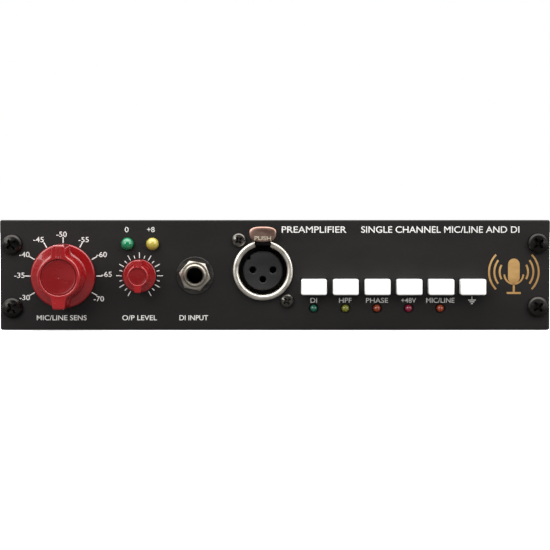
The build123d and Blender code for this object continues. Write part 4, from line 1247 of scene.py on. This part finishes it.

# %% [markdown]
# ## Latch plates
# The thumb plate of a socket's latch is pressed, so its front is crowned and its edges roll over.
# A grid of rings shrinks the plate's outline to its middle while the height follows a curve. The
# arm behind it is a flat strip with a hook, near black as painted shade under the plate. Heights
# are from the socket's flange, which is behind the panel at the front and on the panel at the back.

# %% Latch helpers
LATCH_V = 14.35
FLANGE_BEHIND = -3.0
FLANGE_IN_FRONT = 2.0


def latch_plate(name, seat, flange, body, node):
    """A crowned plate: rings shrink an arched outline, and height rises as a quarter ellipse.

    The outline is a superellipse 10.6 mm wide and 6 mm tall, widest a little above its middle.
    """
    angle = np.linspace(0, 2 * math.pi, 96, endpoint=False)
    power = 2.7
    reach = (np.abs(np.cos(angle)) ** power + np.abs(np.sin(angle)) ** power) ** (-1 / power)
    u = 5.3 * reach * np.cos(angle)
    v = 3.0 * reach * np.sin(angle)
    u = u * (1 + 0.03 * v)
    shrink = np.array([0.0, 0.9, 1.0, 1.0, 0.985, 0.955, 0.9, 0.8, 0.55, 0.25, 0.0])
    rise = np.array([0.0, 0.0, 0.1, 0.65, 0.85, 0.98, 1.08, 1.18, 1.3, 1.36, 1.38])
    across = shrink[:, None] * u
    up = LATCH_V + shrink[:, None] * v
    out = np.broadcast_to(flange + 5.72 + rise[:, None], across.shape)
    points = seat.place(across, up, out)
    slot = SLOTS[node]
    plate = make_piece(name, points, grid_faces(*out.shape), latch_copper, body, slot)
    # The word is pale as a painted highlight on its raised letters.
    word = printed(seat, "PUSH", 0, LATCH_V - 1.5, 1.5, 6.6, 0.25, flange + 6.85, 0.02)
    join_prints(name + "_word", [word], push_painted_highlight, body, slot)
    return plate


def latch_arm(name, seat, flange, body, node):
    """The arm behind a plate, in painted shade: a side outline with a hook, drawn once at each side
    and joined.
    """
    foot, hook = [(8.8, -5.6), (8.8, -7.0), (11.2, -7.0)], [(11.2, 5.8), (12.6, 5.8)]
    side = np.array(foot + hook + [(12.6, 6.4), (10.0, 6.4), (10.0, -5.6)])
    up = np.concatenate([side[:, 0], side[:, 0]])
    out = np.concatenate([side[:, 1], side[:, 1]]) + flange
    count = len(side)
    step = np.arange(count)
    after = (step + 1) % count
    faces = [step.tolist(), (step[::-1] + count).tolist()]
    faces += np.stack([step, after, after + count, step + count], 1).tolist()
    points = seat.place(np.repeat([-2.9, 2.9], count), up, out)
    return join_prints(name, [(points, faces)], latch_painted_shade, body, SLOTS[node])


print("helpers: latch_plate, latch_arm")

# %% [markdown]
# ## Socket lips
# A socket's barrel ends in a rolled lip, which is what catches the light. It is open at the slot
# where the latch, or the plug's key, goes in.

# %% Latches and lips
RING_TOP = 4.2
LATCH_GAP = math.asin(3.25 / 10.8)
KEY_GAP = math.asin(2.0 / 10.8)


def barrel_bead(name, seat, flange, half_gap, finish, node):
    """The rolled lip on a socket's barrel: a crowned section swept round, open at the slot.

    The section's height is a half ellipse over its width; the sweep starts and ends at the slot,
    where its section shrinks to a point so that both ends are closed.
    """
    inner, outer, top = 9.72, 11.82, RING_TOP + flange
    section = np.linspace(0, 2 * math.pi, 24, endpoint=False)
    width = (outer - inner) / 2 * np.cos(section)
    height = np.where(np.sin(section) > 0, 0.62 * np.sin(section), 0.15 * np.sin(section))
    turn = np.linspace(math.pi / 2 + half_gap, 5 * math.pi / 2 - half_gap, 240)
    fill = np.ones_like(turn)
    turn = np.concatenate([turn[:1], turn, turn[-1:]])
    fill = np.concatenate([[0.0], fill, [0.0]])
    radius = (inner + outer) / 2 + fill[:, None] * width
    out = top + fill[:, None] * height
    turn = turn[:, None]
    points = seat.place(radius * np.cos(turn), radius * np.sin(turn), out)
    return make_piece(name, points, grid_faces(*out.shape), finish, "chassis", SLOTS[node])


barrel_bead("mic_bead", mic_seat, FLANGE_BEHIND, LATCH_GAP, mic_nickel, "mic_socket_shell")
barrel_bead("line_bead", line_seat, FLANGE_IN_FRONT, LATCH_GAP, line_nickel, "line_socket_shell")
barrel_bead(
    "output_bead", output_seat, FLANGE_IN_FRONT, KEY_GAP, output_nickel, "output_socket_shell"
)
for side, seat, flange in (("mic", mic_seat, FLANGE_BEHIND), ("line", line_seat, FLANGE_IN_FRONT)):
    body, node = side + "_release", side + "_latch"
    latch_arm(side + "_latch_arm", seat, flange, body, node)
    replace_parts(latch_plate(side + "_latch_plate", seat, flange, body, node), node)

# %% [markdown]
# ## The wound transformer
# A ring transformer is a doughnut of wire under overlapping tape. Its section is a rounded square,
# and each turn of tape makes a low ridge that leans as it goes over the ring.

# %% Wound ring


def wound_ring(name, node, columns=720, rows=64):
    """A ring with a superellipse section; the ridges are a sine of angle plus a lean."""
    low, high = (np.array(corner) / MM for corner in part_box(node))
    middle = (low + high) / 2
    outer = (high[0] - low[0]) / 2
    inner = 10.0
    half = np.array([(outer - inner) / 2, (high[2] - low[2]) / 2]) - 0.25
    around = np.linspace(0, 2 * math.pi, columns, endpoint=False)[None, :]
    section = np.linspace(0, 2 * math.pi, rows, endpoint=False)[:, None]
    power = 3.2
    reach = (np.abs(np.cos(section)) ** power + np.abs(np.sin(section)) ** power) ** (-1 / power)
    ridge = 0.22 * np.abs(np.sin(23 * around + 0.9 * section))
    radius = (outer + inner) / 2 + (half[0] * reach + ridge) * np.cos(section)
    height = middle[2] + (half[1] * reach + ridge) * np.sin(section)
    points = np.stack(
        [
            middle[0] + radius * np.cos(around),
            middle[1] + radius * np.sin(around),
            height + 0 * around,
        ],
        -1,
    )
    faces = grid_faces(rows, columns, wrap_rows=True)
    return make_piece(name, points * MM, faces, tape_yellow, "chassis", SLOTS[node])


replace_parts(wound_ring("wound_ring", "mains_transformer"), "mains_transformer")

# %% [markdown]
# ## Words at the back
# The rear panel gets the plain names of its sockets and of the mains inlet, beside each of them.

# %% Rear legends
rear_middle = rear_seat(0.0, CENTRE_Z)


def on_rear(node):
    """A node's middle across the rear panel, in millimetres, as the back is read."""
    low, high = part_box(node)
    return -(low.x + high.x) / 2 / MM


rear_words = [
    printed(rear_middle, "OUTPUT", on_rear("output_socket_shell") + 0.2, -17.4, 1.7, 9.0),
    printed(rear_middle, "LINE IN", on_rear("line_socket_shell"), -17.4, 1.7, 9.0),
    printed(rear_middle, "POWER", on_rear("mains_inlet"), 16.6, 1.5, 7.0),
]
join_prints("rear_words", rear_words, legend_ink, "chassis", "case_paint")

# %% [markdown]
# ## Floor
# The unit stands on a pale sheet that runs out of sight. A sheet that bright would light the
# front from below and wash out its deep colours, so only the camera sees it so pale.

# %% Floor
FLOOR_GLOW = 0.35
FLOOR_HALF = 2.5
DIM_FROM, DIM_TO = -0.42, -0.2


def pale_floor():
    """A wide pale sheet with a faint, slow mottling, a little lit from below like a light table.

    For the unit it's a deep grey that darkens in a straight ramp towards the camera.
    """
    material, tree, shader, place = start_material("floor_sheet", Roughness=0.8)
    mottle = effect(tree, "smears", place, Scale=3.0)
    pale = ramp(tree, mottle, 0.0, 1.0, (0.90, 0.90, 0.89, 1.0), (0.94, 0.94, 0.93, 1.0))
    along = add_node(tree, "ShaderNodeSeparateXYZ", {"Vector": place}).outputs["Y"]
    grey = ramp(tree, along, DIM_FROM, DIM_TO, (0.02, 0.02, 0.02, 1.0), (0.07, 0.07, 0.07, 1.0))
    seen = add_node(tree, "ShaderNodeLightPath").outputs["Is Camera Ray"]
    colour = add_node(
        tree, "ShaderNodeMix", {"Factor": seen, "A": grey, "B": pale}, data_type="RGBA"
    )
    tree.links.new(colour.outputs["Result"], shader.inputs["Base Color"])
    shader.inputs["Emission Color"].default_value = (1.0, 1.0, 1.0, 1.0)
    glow = add_node(tree, "ShaderNodeMath", {0: seen, 1: FLOOR_GLOW}, operation="MULTIPLY")
    tree.links.new(glow.outputs[0], shader.inputs["Emission Strength"])
    ends = (-FLOOR_HALF, FLOOR_HALF)
    corners = [(ends[i], ends[j], 0.0) for i, j in ((0, 0), (1, 0), (1, 1), (0, 1))]
    mesh = bpy.data.meshes.new("floor")
    mesh.from_pydata(corners, [], [(0, 1, 2, 3)])
    mesh.materials.append(material)
    floor = bpy.data.objects.new("floor", mesh)
    bpy.context.scene.collection.objects.link(floor)


pale_floor()
print("the floor is", 2 * FLOOR_HALF, "m wide")
